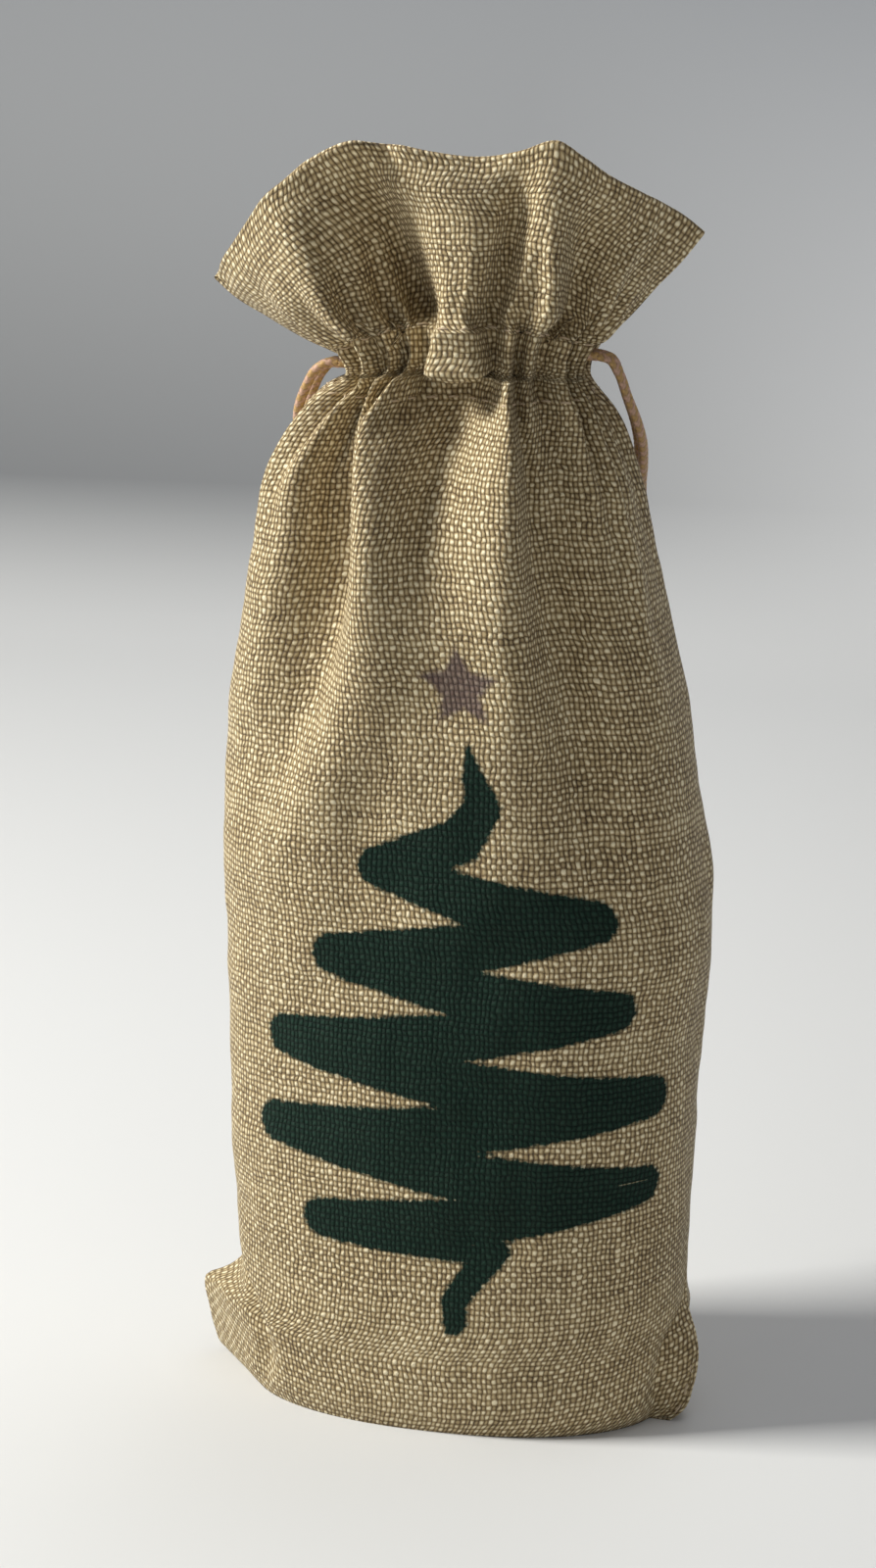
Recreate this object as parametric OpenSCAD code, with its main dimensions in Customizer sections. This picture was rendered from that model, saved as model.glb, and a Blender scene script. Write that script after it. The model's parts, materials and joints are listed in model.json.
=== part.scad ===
// Drawstring gift bag for one bottle: two woven panels sewn together, a turned-in hem that makes
// the ruffle and the casing, two cords that draw the mouth shut, and their knotted tails.
// Millimetres. +Z is up, X is the bag's width, the front faces -Y. Origin: centre of the base.

/* [Bag] */
// Height of the standing bag
bag_h = 310; // [300:1:330]
// Width of the filled body at its widest
body_w = 120; // [112:1:126]
// Depth of the filled body
body_d = 72; // [68:1:78]
// Thickness of the woven cloth
cloth_t = 1.2; // [0.8:0.1:1.3]
// Width of the seam allowance turned inside
seam_w = 8; // [5:1:9]
// How far each bottom corner stands out of the body
ear_reach = 11; // [6:1:18]

/* [Neck and ruffle] */
// Height of the middle of the casing
neck_z = 258; // [256:1:262]
// Width of the gathered neck
neck_w = 58.8; // [57:0.2:60]
// Depth of the gathered neck
neck_d = 38.4; // [37.6:0.2:40]
// Width of the ruffle from corner to corner
ruffle_w = 118; // [100:1:124]
// Depth of the ruffle at its rim
ruffle_d = 54; // [48:1:60]
// How far the ruffle's corners hang below its middle
ruffle_droop = 30; // [15:1:32]

/* [Drawcords] */
// Diameter of the cord
cord_d = 2.5; // [2:0.1:2.6]
// Outer diameter of the knot
knot_d = 8.6; // [7:0.1:9]
// Length of the cord ends below the knot
end_len = 14; // [8:1:18]

/* [Stitching] */
// Length of one stitch
stitch_len = 2.6; // [2:0.1:3]
// Thickness of the sewing thread
thread_d = 0.6; // [0.4:0.1:0.6]

/* [Hidden] */

burlap = [0.74, 0.65, 0.50];
burlap_inside = [0.66, 0.57, 0.43];
cord_gold = [0.82, 0.68, 0.53];
thread_tan = [0.70, 0.60, 0.46];

half_w = body_w / 2;
half_d = body_d / 2;
ply_gap = 0.15;             // each panel stays this far from the side seam's plane
fin_gap = 1.4;              // half of the space between the two plies in the seam's ridge
fin_min = 2;                // the seam's ridge above the corners
panel_top = neck_z - 9;
casing_h = 17.4;
casing_low = neck_z - casing_h / 2;
casing_top = neck_z + casing_h / 2;
clear = 0.3;                // space between neighbouring cloths and cords

// Share of the body's half width and half depth at each height.
width_at = [[0, 0.93], [3, 0.96], [12, 0.97], [60, 0.98], [117, 1], [150, 0.985], [181, 0.925],
            [210, 0.815], [230, 0.715], [243, 0.62], [panel_top, 0.55]];
depth_at = [[0, 0.94], [3, 0.97], [12, 1], [150, 1], [181, 0.97], [210, 0.89],
            [230, 0.78], [243, 0.66], [panel_top, 0.6]];
// Share of the corner's reach at each height.
ear_at = [[0, 1], [20, 1], [34, 0.5], [50, 0]];

// Rows of a panel: height, and share of the depth, from the bottom seam out and up to the casing.
panel_rows = [[0, 0], [0, 0.35], [0, 0.7], [0, 0.92], [3, 1], [12, 1], [20, 1], [34, 1], [50, 1], [84, 1],
              [117, 1], [150, 1], [181, 1], [197, 1], [210, 1], [220, 1], [230, 1], [237, 1], [243, 1],
              [panel_top, 1]];

function ear(z) = fin_min + (ear_reach - fin_min) * lookup(z, ear_at);
function superellipse(a, b, ang, n) =
    [a * sign(cos(ang)) * pow(abs(cos(ang)), 2 / n), b * sign(sin(ang)) * pow(abs(sin(ang)), 2 / n)];

// Closed solid between two grids of points, both row by row with the same number of columns.
module thick_sheet(outer, inner) {
    rows = len(outer);
    cols = len(outer[0]);
    n = rows * cols;
    points = concat([for (r = outer) each r], [for (r = inner) each r]);
    function at(i, j) = i * cols + j;
    faces = concat(
        [for (i = [0:rows - 2], j = [0:cols - 2]) each
            [[at(i, j), at(i + 1, j + 1), at(i, j + 1)], [at(i, j), at(i + 1, j), at(i + 1, j + 1)]]],
        [for (i = [0:rows - 2], j = [0:cols - 2]) each
            [[n + at(i, j), n + at(i, j + 1), n + at(i + 1, j + 1)],
             [n + at(i, j), n + at(i + 1, j + 1), n + at(i + 1, j)]]],
        [for (j = [0:cols - 2]) each
            [[at(0, j), at(0, j + 1), n + at(0, j)], [at(0, j + 1), n + at(0, j + 1), n + at(0, j)]]],
        [for (j = [0:cols - 2]) each
            [[at(rows - 1, j), n + at(rows - 1, j), at(rows - 1, j + 1)],
             [at(rows - 1, j + 1), n + at(rows - 1, j), n + at(rows - 1, j + 1)]]],
        [for (i = [0:rows - 2]) each
            [[at(i, 0), n + at(i, 0), at(i + 1, 0)], [at(i + 1, 0), n + at(i, 0), n + at(i + 1, 0)]]],
        [for (i = [0:rows - 2]) each
            [[at(i, cols - 1), at(i + 1, cols - 1), n + at(i, cols - 1)],
             [at(i + 1, cols - 1), n + at(i + 1, cols - 1), n + at(i, cols - 1)]]]);
    polyhedron(points, faces);
}

// Tube of eight sides round a route of points, closed at both ends.
module tube(route, d) {
    sides = 8;
    last = len(route) - 1;
    function unit(v) = v / norm(v);
    function along(i) = unit(route[min(i + 1, last)] - route[max(i - 1, 0)]);
    function turned(v, t) = unit(v - (v * t) * t);
    // Each ring's first direction is the last ring's, kept square to the route, so the tube doesn't twist.
    firsts = [for (i = 0, u = turned([0.3, 1, 0.2], along(0)); i <= last;
                   i = i + 1, u = turned(u, along(min(i, last)))) u];
    points = [for (i = [0:last], k = [0:sides - 1])
        let (u = firsts[i], w = cross(along(i), u), a = 360 * k / sides)
        route[i] + d / 2 * (u * cos(a) + w * sin(a))];
    faces = concat(
        [[for (k = [sides - 1:-1:0]) k]],
        [for (i = [0:last - 1], k = [0:sides - 1])
            let (a = i * sides + k, b = i * sides + (k + 1) % sides) each
            [[a, b, b + sides], [a, b + sides, a + sides]]],
        [[for (k = [0:sides - 1]) last * sides + k]]);
    polyhedron(points, [for (f = faces) [for (k = [len(f) - 1:-1:0]) f[k]]]);
}

// ---- The sack: two panels from the bottom seam up to the casing ----

panel_angles = [for (k = [0:20]) 186 + 8.4 * k];

function panel_outer(z, share) =
    let (a = half_w * lookup(z, width_at), b = half_d * lookup(z, depth_at),
         e = ear(z), y = max(share, 0.02))
    concat([[-a - e, -0.9 * y - ply_gap, z], [-a - e + 1.6, -(fin_gap + cloth_t) * y - ply_gap, z]],
           [for (ang = panel_angles) let (p = superellipse(a, b, ang, 2.3)) [p[0], p[1] * y - ply_gap, z]],
           [[a + e - 1.6, -(fin_gap + cloth_t) * y - ply_gap, z], [a + e, -0.9 * y - ply_gap, z]]);

function panel_inner(z, share) =
    let (a = half_w * lookup(z, width_at), b = half_d * lookup(z, depth_at), t = cloth_t,
         e = ear(z), y = share < 1 ? share : 1,
         zi = share < 1 || z < t + 1 ? z + t : z)
    concat([[-a - e + 1.3, -0.1 * y - ply_gap, zi], [-a - e + 1.9, -fin_gap * y - ply_gap, zi]],
           [for (ang = panel_angles) let (p = superellipse(a - t, b - t, ang, 2.3))
               [p[0], p[1] * y - ply_gap, zi]],
           [[a + e - 1.9, -fin_gap * y - ply_gap, zi], [a + e - 1.3, -0.1 * y - ply_gap, zi]]);

module panel() {
    thick_sheet([for (r = panel_rows) panel_outer(r[0], r[1])],
                [for (r = panel_rows) panel_inner(r[0], r[1])]);
}

module front_panel() { color(burlap) panel(); }
module back_panel() { color(burlap) mirror([0, 1, 0]) panel(); }

// ---- Seam allowances inside the sack, and the threads that hold them ----

seam_zs = [1.6, 12, 20, 34, 50, 84, 117, 150, 181, 210, 230, 243, panel_top];
seam_half_t = 1.1;

// Upright strip just inside the side seam, both plies together.
module side_seam() {
    function edge(z) = half_w * lookup(z, width_at) + ear(z) - 2.3;
    outer = [for (z = seam_zs) [[-edge(z), -seam_half_t, z], [-edge(z), seam_half_t, z]]];
    inner = [for (z = seam_zs) [[-edge(z) + seam_w, -seam_half_t, z], [-edge(z) + seam_w, seam_half_t, z]]];
    thick_sheet([for (r = outer) [r[1], r[0]]], [for (r = inner) [r[1], r[0]]]);
}

module left_side_seam() { color(burlap_inside) side_seam(); }
module right_side_seam() { color(burlap_inside) mirror([1, 0, 0]) side_seam(); }

bottom_seam_half = half_w - seam_w - 4;
bottom_seam_t = 2;
module bottom_seam() {
    color(burlap_inside)
        translate([-bottom_seam_half, clear, cloth_t + clear])
            cube([2 * bottom_seam_half, seam_w, bottom_seam_t]);
}

thread_step = 9;
thread_zs = [for (z = [62:thread_step:240]) z];
module seam_stitch_pair() {
    for (z = thread_zs)
        for (side = [-1, 1])
            translate([side * (half_w * lookup(z, width_at) - 4), 0, z - stitch_len / 2])
                for (face = [-1, 1])
                    translate([0, face * (seam_half_t + thread_d / 2), 0])
                        cylinder(h = stitch_len, d = thread_d, $fn = 8);
}
module side_seam_thread() { color(thread_tan) seam_stitch_pair(); }

module bottom_seam_thread() {
    color(thread_tan)
        for (x = [-bottom_seam_half + 4:thread_step:bottom_seam_half - 4])
            translate([x, clear + 2, cloth_t + clear + bottom_seam_t + thread_d / 2])
                rotate([0, 90, 0]) cylinder(h = stitch_len, d = thread_d, $fn = 8);
}

// ---- The casing: the gathered outer ply round the cords ----

casing_angles = [for (k = [0:16]) 200 + 8.75 * k];
function casing_a(z) = neck_w / 2 + lookup(abs(z - neck_z), [[0, 0], [4.5, 0.7], [8.7, 2.4]]);
function casing_b(z) = neck_d / 2 + lookup(abs(z - neck_z), [[0, 0], [4.5, 0.5], [8.7, 1.6]]);
function gather(ang) = 1 + 0.025 * (1 + cos(14 * ang));
function casing_ring(z, inset) =
    [for (ang = casing_angles) [(casing_a(z) * gather(ang) - inset) * cos(ang),
                                (casing_b(z) * gather(ang) - inset) * sin(ang), z]];
casing_zs = [casing_low, neck_z - 4.5, neck_z, neck_z + 4.5, casing_top];

module casing() {
    thick_sheet([for (z = casing_zs) casing_ring(z, 0)], [for (z = casing_zs) casing_ring(z, cloth_t)]);
}
module front_casing() { color(burlap) casing(); }
module back_casing() { color(burlap) mirror([0, 1, 0]) casing(); }

// ---- The ruffle: the outer ply above the casing, flaring to its drooping corners ----

ruffle_angles = [for (k = [0:20]) 180 + 9 * k];
ruffle_low = casing_top + clear;
ruffle_steps = [0, 0.15, 0.35, 0.55, 0.8, 1];
function rim_z(ang) = bag_h - ruffle_droop * pow(abs(cos(ang)), 3);
function ruffle_wave(ang) = 3 * cos(4 * (ang - 270));
function ruffle_row(s, inset) =
    [for (ang = ruffle_angles)
        let (a = casing_a(casing_top) + (ruffle_w / 2 - casing_a(casing_top)) * pow(s, 0.9) - inset,
             b_rim = ruffle_d / 2 + ruffle_wave(ang),
             b = casing_b(casing_top) + (b_rim - casing_b(casing_top)) * s - inset)
        [a * cos(ang), b * sin(ang) - ply_gap, ruffle_low + (rim_z(ang) - ruffle_low) * s]];

module ruffle() {
    thick_sheet([for (s = ruffle_steps) ruffle_row(s, 0)], [for (s = ruffle_steps) ruffle_row(s, cloth_t)]);
}
module front_ruffle() { color(burlap) ruffle(); }
module back_ruffle() { color(burlap) mirror([0, 1, 0]) ruffle(); }

// ---- The hem ply: turned in at the rim, it lines the ruffle and closes the casing behind the cords ----

hem_inset = cloth_t + clear;
hem_steps = [0, 0.15, 0.35, 0.55, 0.8, 0.97];
function hem_pinch(z) = lookup(abs(z - neck_z), [[0, 5.8], [4.5, 6.2], [7.5, 2.4], [9, hem_inset + 0.2]]);
function hem_casing_row(z, inset) =
    [for (ang = ruffle_angles) [(casing_a(z) - hem_pinch(z) - inset) * cos(ang),
                                (casing_b(z) - hem_pinch(z) - inset) * sin(ang) - ply_gap, z]];
hem_casing_zs = [casing_low + 0.3, neck_z - 4.5, neck_z, neck_z + 4.5, casing_top - 1.2];

module hem_ply() {
    thick_sheet(
        concat([for (z = hem_casing_zs) hem_casing_row(z, 0)],
               [for (s = hem_steps) ruffle_row(s, hem_inset)]),
        concat([for (z = hem_casing_zs) hem_casing_row(z, cloth_t)],
               [for (s = hem_steps) ruffle_row(s, hem_inset + cloth_t)]));
}
module front_hem_ply() { color(burlap_inside) hem_ply(); }
module back_hem_ply() { color(burlap_inside) mirror([0, 1, 0]) hem_ply(); }

// ---- Stitch rows along both edges of the casing ----

stitch_angles = [for (k = [0:15]) 207 + 8.4 * k];
stitch_off = 0.6;
module stitch_row(z) {
    for (ang = stitch_angles) {
        a = casing_a(z) * gather(ang) + stitch_off;
        b = casing_b(z) * gather(ang) + stitch_off;
        translate([a * cos(ang), b * sin(ang), z])
            rotate([0, 0, atan2(b * cos(ang), -a * sin(ang))])
                rotate([0, 90, 0]) cylinder(h = stitch_len, d = thread_d, center = true, $fn = 8);
    }
}
lower_stitch_z = casing_low + 1.2;
upper_stitch_z = casing_top - 1.2;
module front_lower_stitching() { color(thread_tan) stitch_row(lower_stitch_z); }
module front_upper_stitching() { color(thread_tan) stitch_row(upper_stitch_z); }
module back_lower_stitching() { color(thread_tan) mirror([0, 1, 0]) stitch_row(lower_stitch_z); }
module back_upper_stitching() { color(thread_tan) mirror([0, 1, 0]) stitch_row(upper_stitch_z); }

// ---- The cords: each runs right round inside the casing and leaves it on its own side ----

cord_low_z = neck_z - 1.8;
cord_high_z = neck_z + 1.8;
exit_x = 31;
exit_y = 1.6;
cord_a = neck_w / 2 - cloth_t - clear - cord_d / 2 - 0.3;
cord_b = neck_d / 2 - cloth_t - clear - cord_d / 2 - 0.3;
// From the exit, a bend into the casing, then the casing's oval.
exit_bend = [[-exit_x + 1, -exit_y - 0.2], [-28.2, -2.3], [-25.9, -4.6], [-24, -7.3]];
function mirrored_back(route) = [for (k = [len(route) - 1:-1:0]) [route[k][0], -route[k][1]]];
oval = [for (k = [0:12]) let (ang = 217 + 23.83 * k) [cord_a * cos(ang), cord_b * sin(ang)]];
cord_ring = concat(exit_bend, oval, mirrored_back(exit_bend));

module left_cord_in_casing() {
    color(cord_gold) tube([for (p = cord_ring) [p[0], p[1], cord_low_z]], cord_d);
}
module right_cord_in_casing() {
    color(cord_gold) mirror([1, 0, 0]) tube([for (p = cord_ring) [p[0], p[1], cord_high_z]], cord_d);
}

// Routes of the four strands: each goes over the shoulder, behind the bag and down to its tail's knot.
left_front_route = [[-31, -1.6, 256.2], [-33.8, -1.6, 256.1], [-36.8, -1.4, 254.4], [-39.6, -0.4, 250.2],
                    [-42.4, 2.4, 244.4], [-43.8, 7, 237.6], [-44.4, 13, 230], [-43.8, 19.4, 221],
                    [-42.6, 25.4, 210], [-42, 29.6, 197.6], [-41.2, 31.8, 184], [-40.6, 32.9, 166],
                    [-40.3, 33.1, 150.3]];
left_back_route = [[-31, 1.6, 256.2], [-33.8, 2.1, 255.9], [-36.2, 3.4, 253.2], [-38.4, 5.8, 249],
                   [-40.8, 9.6, 243.2], [-42, 14.4, 236.6], [-42.2, 19.8, 229.2], [-41.2, 25.2, 219.8],
                   [-39.8, 29.6, 209], [-38.8, 32.4, 196.6], [-38, 34, 183], [-37.7, 35.1, 166],
                   [-37.7, 35.5, 150.3]];
right_front_route = [[31, -1.6, 259.8], [33.6, -1.5, 259.1], [35.8, -0.9, 255.8], [37.4, 0.7, 250.6],
                     [39.2, 3.6, 244.6], [40.4, 8.6, 238.8], [40.4, 14.6, 232.6], [38.8, 20.6, 226.4],
                     [37.6, 25.4, 219], [37.4, 28.8, 209.8], [38.8, 31, 198], [39.8, 32.2, 184],
                     [40.2, 33, 166], [40.3, 33.1, 150.3]];
right_back_route = [[31, 1.6, 259.8], [33.4, 1.9, 258.9], [35.2, 3.1, 255], [36.6, 5.3, 249.6],
                    [37.8, 8.8, 243.8], [38, 13.4, 238.2], [36.8, 18.8, 232.4], [35.2, 23.8, 226.6],
                    [34.2, 28, 219], [34.8, 31.2, 209.6], [36.2, 33.4, 197.6], [37.2, 34.6, 184],
                    [37.6, 35.3, 166], [37.7, 35.5, 150.3]];

module left_front_strand() { color(cord_gold) tube(left_front_route, cord_d); }
module left_back_strand() { color(cord_gold) tube(left_back_route, cord_d); }
module right_front_strand() { color(cord_gold) tube(right_front_route, cord_d); }
module right_back_strand() { color(cord_gold) tube(right_back_route, cord_d); }

// Overhand knot of both strands, with their two short ends below it.
knot_top = 150;
knot_y = 34.3;
knot_h = 9.6;
module knot() {
    r = knot_d / 2;
    translate([-39, knot_y, knot_top - knot_h]) {
        rotate_extrude($fn = 24)
            polygon([[0, 0], [r * 0.7, 0], [r * 0.93, knot_h * 0.2], [r, knot_h * 0.5],
                     [r * 0.93, knot_h * 0.8], [r * 0.7, knot_h], [0, knot_h]]);
        for (side = [-1, 1])
            translate([side * 1.4, 0, -end_len]) cylinder(h = end_len + 0.5, d = cord_d, $fn = 16);
    }
}
module left_knot() { color(cord_gold) knot(); }
module right_knot() { color(cord_gold) mirror([1, 0, 0]) knot(); }

// Bar tacks that end the side seam below the cord's exit and start it again above.
tack_w = 4.4;
module bar_tacks() {
    for (z = [casing_low + 1.4, casing_top - 1])
        translate([-casing_a(z) - 1.1, 0, z])
            for (k = [-1:1])
                translate([0, 0, k * 0.7])
                    rotate([90, 0, 0]) cylinder(h = tack_w, d = thread_d, center = true, $fn = 8);
}
module left_bar_tacks() { color(thread_tan) bar_tacks(); }
module right_bar_tacks() { color(thread_tan) mirror([1, 0, 0]) bar_tacks(); }

front_panel();
back_panel();
left_side_seam();
right_side_seam();
bottom_seam();
side_seam_thread();
bottom_seam_thread();
front_casing();
back_casing();
front_ruffle();
back_ruffle();
front_hem_ply();
back_hem_ply();
front_lower_stitching();
front_upper_stitching();
back_lower_stitching();
back_upper_stitching();
left_cord_in_casing();
right_cord_in_casing();
left_front_strand();
left_back_strand();
right_front_strand();
right_back_strand();
left_knot();
right_knot();
left_bar_tacks();
right_bar_tacks();
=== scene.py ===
"""Looks of the wine gift bag: a gathered burlap sack with two drawcords, standing on a pale floor.

The cloth is worked out in its own flat coordinates, in metres: u runs across a panel from the left side
seam, v runs up from the bottom seam, over the rim and down the turned-in hem ply. Z is up and the front
faces -Y.
"""

import json
import math
import random

import bmesh
import bpy
import numpy as np
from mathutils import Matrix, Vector

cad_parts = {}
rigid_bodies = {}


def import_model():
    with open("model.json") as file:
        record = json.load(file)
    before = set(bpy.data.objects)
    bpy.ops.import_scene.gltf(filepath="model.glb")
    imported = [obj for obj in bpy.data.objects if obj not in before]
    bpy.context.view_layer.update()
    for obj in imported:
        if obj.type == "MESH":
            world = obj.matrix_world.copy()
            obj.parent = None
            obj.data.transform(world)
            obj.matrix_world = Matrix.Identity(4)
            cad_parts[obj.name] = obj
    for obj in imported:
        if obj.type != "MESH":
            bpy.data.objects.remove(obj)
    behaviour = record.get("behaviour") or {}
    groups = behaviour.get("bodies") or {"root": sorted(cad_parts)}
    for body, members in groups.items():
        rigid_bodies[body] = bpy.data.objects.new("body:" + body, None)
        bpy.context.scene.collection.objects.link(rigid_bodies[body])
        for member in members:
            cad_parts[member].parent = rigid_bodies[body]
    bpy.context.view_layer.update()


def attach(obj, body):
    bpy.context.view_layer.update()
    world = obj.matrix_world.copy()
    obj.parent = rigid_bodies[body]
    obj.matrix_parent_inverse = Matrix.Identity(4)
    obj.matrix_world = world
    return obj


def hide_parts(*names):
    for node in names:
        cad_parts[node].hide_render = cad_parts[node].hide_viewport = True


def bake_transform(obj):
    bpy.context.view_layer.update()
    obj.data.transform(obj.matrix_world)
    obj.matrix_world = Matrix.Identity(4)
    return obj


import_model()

MM = 0.001
FRONT = -1
BACK = 1
SIDE_NAME = {FRONT: "front", BACK: "back"}

# ---------------------------------------------------------------- sizes, in metres

CLOTH_WIDTH = 152 * MM          # flat width between the side seams
PANEL_TOP = 249 * MM            # where the lower stitch row crosses the neck
BASE_HALF_DEPTH = 36 * MM
PLY_GAP = 1.5 * MM              # between the outer ply and the turned-in hem ply
CORD_D = 2.5 * MM
THREAD_D = 0.6 * MM
STITCH_LENGTH = 2.6 * MM
OUTLINE_POWER = 2.3             # superellipse exponent of the sack's level sections
WARP_PITCH = 1.22 * MM          # distance between upright yarns
WEFT_PITCH = 1.46 * MM          # distance between level yarns
YARN_WOBBLE = 2.2 * MM          # how far a yarn strays from its place

COLUMNS = 260                   # vertices across one panel, seam to seam
FINE = 1600                     # points used to measure a level section

# Where the cloth beside the side seams is cut off each panel, along a sloping plane.
BEND_LOW = {FRONT: 150 * MM, BACK: 206 * MM}    # below this height a panel is not cut
BEND_HIGH = PANEL_TOP
BEND_DEPTH = {FRONT: 12 * MM, BACK: 17 * MM}    # at BEND_HIGH, cloth closer to the middle plane than this is cut off


# ---------------------------------------------------------------- camera

CAMERA_AZIMUTH = math.radians(14)
CAMERA_TILT = 15                # degrees below the level
CAMERA_DISTANCE = 0.765
CAMERA_HEIGHT = 0.360
CAMERA_SHIFT = 0.0073           # how far it stands to the left of the bag's middle
CAMERA_LENS = 75.2


def placed(name, data):
    """A new object of the scene."""
    obj = bpy.data.objects.new(name, data)
    bpy.context.scene.collection.objects.link(obj)
    return obj


def make_camera():
    camera_data = bpy.data.cameras.new("camera")
    camera_data.lens = CAMERA_LENS
    camera_data.sensor_width = 36
    camera = placed("camera", camera_data)
    cosine, sine = math.cos(CAMERA_AZIMUTH), math.sin(CAMERA_AZIMUTH)
    to_right = Vector((cosine, sine, 0))
    outward = Vector((sine, -cosine, 0))
    up = Vector((0, 0, CAMERA_HEIGHT))
    camera.location = outward * CAMERA_DISTANCE + up - to_right * CAMERA_SHIFT
    camera.rotation_euler = (math.radians(90 - CAMERA_TILT), 0, CAMERA_AZIMUTH)
    bpy.context.scene.camera = camera


make_camera()


# ---------------------------------------------------------------- small helpers

def through(points, at):
    """Smooth curve through rows of (position, value, value...), read at the given positions."""
    table = np.array(points, float)
    known, values = table[:, 0], table[:, 1:]
    at = np.clip(np.asarray(at, float), known[0], known[-1])
    step = np.diff(known)
    rise = np.diff(values, axis=0) / step[:, None]
    slope = np.zeros_like(values)
    slope[0], slope[-1] = rise[0], rise[-1]
    before, after = rise[:-1], rise[1:]
    weight_a, weight_b = step[1:, None], step[:-1, None]
    middle = (weight_a * before + weight_b * after) / (weight_a + weight_b)
    slope[1:-1] = np.where(before * after > 0, middle, middle * 0.35)
    index = np.clip(np.searchsorted(known, at, side="right") - 1, 0, len(step) - 1)
    width = step[index][..., None]
    share = ((at - known[index]) / step[index])[..., None]
    a = (1 + 2 * share) * (1 - share) ** 2
    b = share * (1 - share) ** 2
    c = share ** 2 * (3 - 2 * share)
    d = share ** 2 * (share - 1)
    out = a * values[index] + b * width * slope[index]
    out = out + c * values[index + 1] + d * width * slope[index + 1]
    return out[..., 0] if out.shape[-1] == 1 else out


def ease(x):
    x = np.clip(x, 0, 1)
    return x * x * (3 - 2 * x)


def arc_length(points):
    """Distance along a polyline, from its first point."""
    steps = np.linalg.norm(np.diff(points, axis=0), axis=1)
    return np.concatenate([[0], np.cumsum(steps)])


def even_points(points, count):
    """The same polyline with evenly spaced points."""
    along = arc_length(points)
    wanted = np.linspace(0, along[-1], count)
    return np.stack([np.interp(wanted, along, points[:, k]) for k in range(3)], axis=1)


def level_normals(points, window=1):
    """Outward directions in the level plane, for a section that runs from the left seam to the right one."""
    flat = points[:, :2]
    if window > 1:
        kernel = np.hanning(window + 2)[1:-1]
        kernel /= kernel.sum()
        ends = window // 2
        padded = np.pad(flat, ((ends, ends), (0, 0)), mode="reflect", reflect_type="odd")
        flat = np.stack([np.convolve(padded[:, k], kernel, mode="same") for k in (0, 1)], axis=1)
        flat = flat[ends:len(flat) - ends]
    tangent = np.gradient(flat, axis=0)
    normal = np.stack([tangent[:, 1], -tangent[:, 0], np.zeros(len(points))], axis=1)
    normal /= np.linalg.norm(normal, axis=1)[:, None] + 1e-12
    return normal


def soften(values, passes):
    """Averages a row of points with its neighbours, ends fixed."""
    values = values.copy()
    for _ in range(passes):
        values[1:-1] = 0.25 * values[:-2] + 0.5 * values[1:-1] + 0.25 * values[2:]
    return values


def set_uv(mesh, name, coordinates):
    """A UV map from one pair of coordinates for each vertex."""
    layer = mesh.uv_layers.new(name=name)
    loops = np.zeros(len(mesh.loops), int)
    mesh.loops.foreach_get("vertex_index", loops)
    layer.data.foreach_set("uv", coordinates[loops].reshape(-1).astype(np.float32))


def set_values(mesh, name, values):
    """A named number for each vertex, for the materials to read."""
    layer = mesh.attributes.new(name, "FLOAT", "POINT")
    layer.data.foreach_set("value", np.asarray(values, np.float32).reshape(-1))


def tube_faces(rings, sides, base=0):
    """The side faces of a tube whose rings of vertices follow one another, from vertex base on."""
    faces = []
    for i in range(rings - 1):
        lower, upper = base + i * sides, base + (i + 1) * sides
        for j in range(sides):
            k = (j + 1) % sides
            faces.append((lower + j, lower + k, upper + k, upper + j))
    return faces


def smooth_object(name, mesh, material):
    """An object of a finished mesh, shaded smooth."""
    mesh.polygons.foreach_set("use_smooth", [True] * len(mesh.polygons))
    mesh.materials.append(material)
    obj = placed(name, mesh)
    return obj


class Waves:
    """Smooth, repeatable unevenness over a plane: a sum of a few sine waves of about one wavelength."""

    def __init__(self, seed, wavelength, count=14):
        draw = random.Random(seed)
        self.parts = []
        for _ in range(count):
            angle = draw.uniform(0, math.tau)
            length = wavelength * draw.uniform(0.7, 1.6)
            phase = draw.uniform(0, math.tau)
            self.parts.append((math.cos(angle) / length, math.sin(angle) / length, phase))

    def __call__(self, x, y):
        total = 0
        for fx, fy, phase in self.parts:
            total = total + np.sin(math.tau * (x * fx + y * fy) + phase)
        return total / math.sqrt(len(self.parts))


# ---------------------------------------------------------------- sack: level sections

# Height, half width, half depth and sideways shift of the sack's section, in millimetres.
SECTIONS = [
    (0, 54.4, 34.0, -1.4),
    (3, 56.0, 35.0, -1.4),
    (12, 56.8, 36.0, -1.5),
    (40, 57.0, 36.0, -1.4),
    (60, 57.9, 36.0, -1.4),
    (95, 58.6, 36.0, -0.7),
    (117, 60.0, 36.0, 0.0),
    (150, 58.7, 36.0, -1.5),
    (165, 56.9, 35.6, -2.2),
    (181, 54.8, 35.0, -2.7),
    (205, 49.7, 32.8, -3.6),
    (222, 45.4, 30.0, -3.9),
    (232, 42.4, 27.6, -4.0),
    (240, 38.8, 25.0, -3.6),
    (247, 34.6, 22.0, -2.6),
    (251, 31.0, 19.6, -1.6),
    (254.5, 28.4, 17.9, -0.8),
    (258.5, 26.8, 16.8, 0.0),
    (262.5, 27.2, 16.8, 0.0),
    (267, 29.0, 17.6, 0.0),
]
NECK_WIDTH, NECK_DEPTH = 29.0, 17.6     # half sizes where the ruffle starts
NECK_BOTTOM, NECK_TOP = 249.0, 267.0    # heights between which the casing runs
CASING_MIDDLE = 256.0                   # where the gathers are tightest
RUFFLE_LENGTH = 44                      # from the neck to the rim, along the cloth
RUFFLE_WINDOW = 361                     # points over which the ruffle's outward direction is averaged
SEAM_FADE = 0.012                       # share of the width beside a side seam that it holds flat
GATHERS_FROM, TAB_FROM = 170, 240       # heights where the gathers and the tab begin

EAR_TOP = 60                            # the bottom corners' ears end below this height
EAR_BLEND_FROM = 44                     # from here up the ear's line passes into the section's own end

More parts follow.
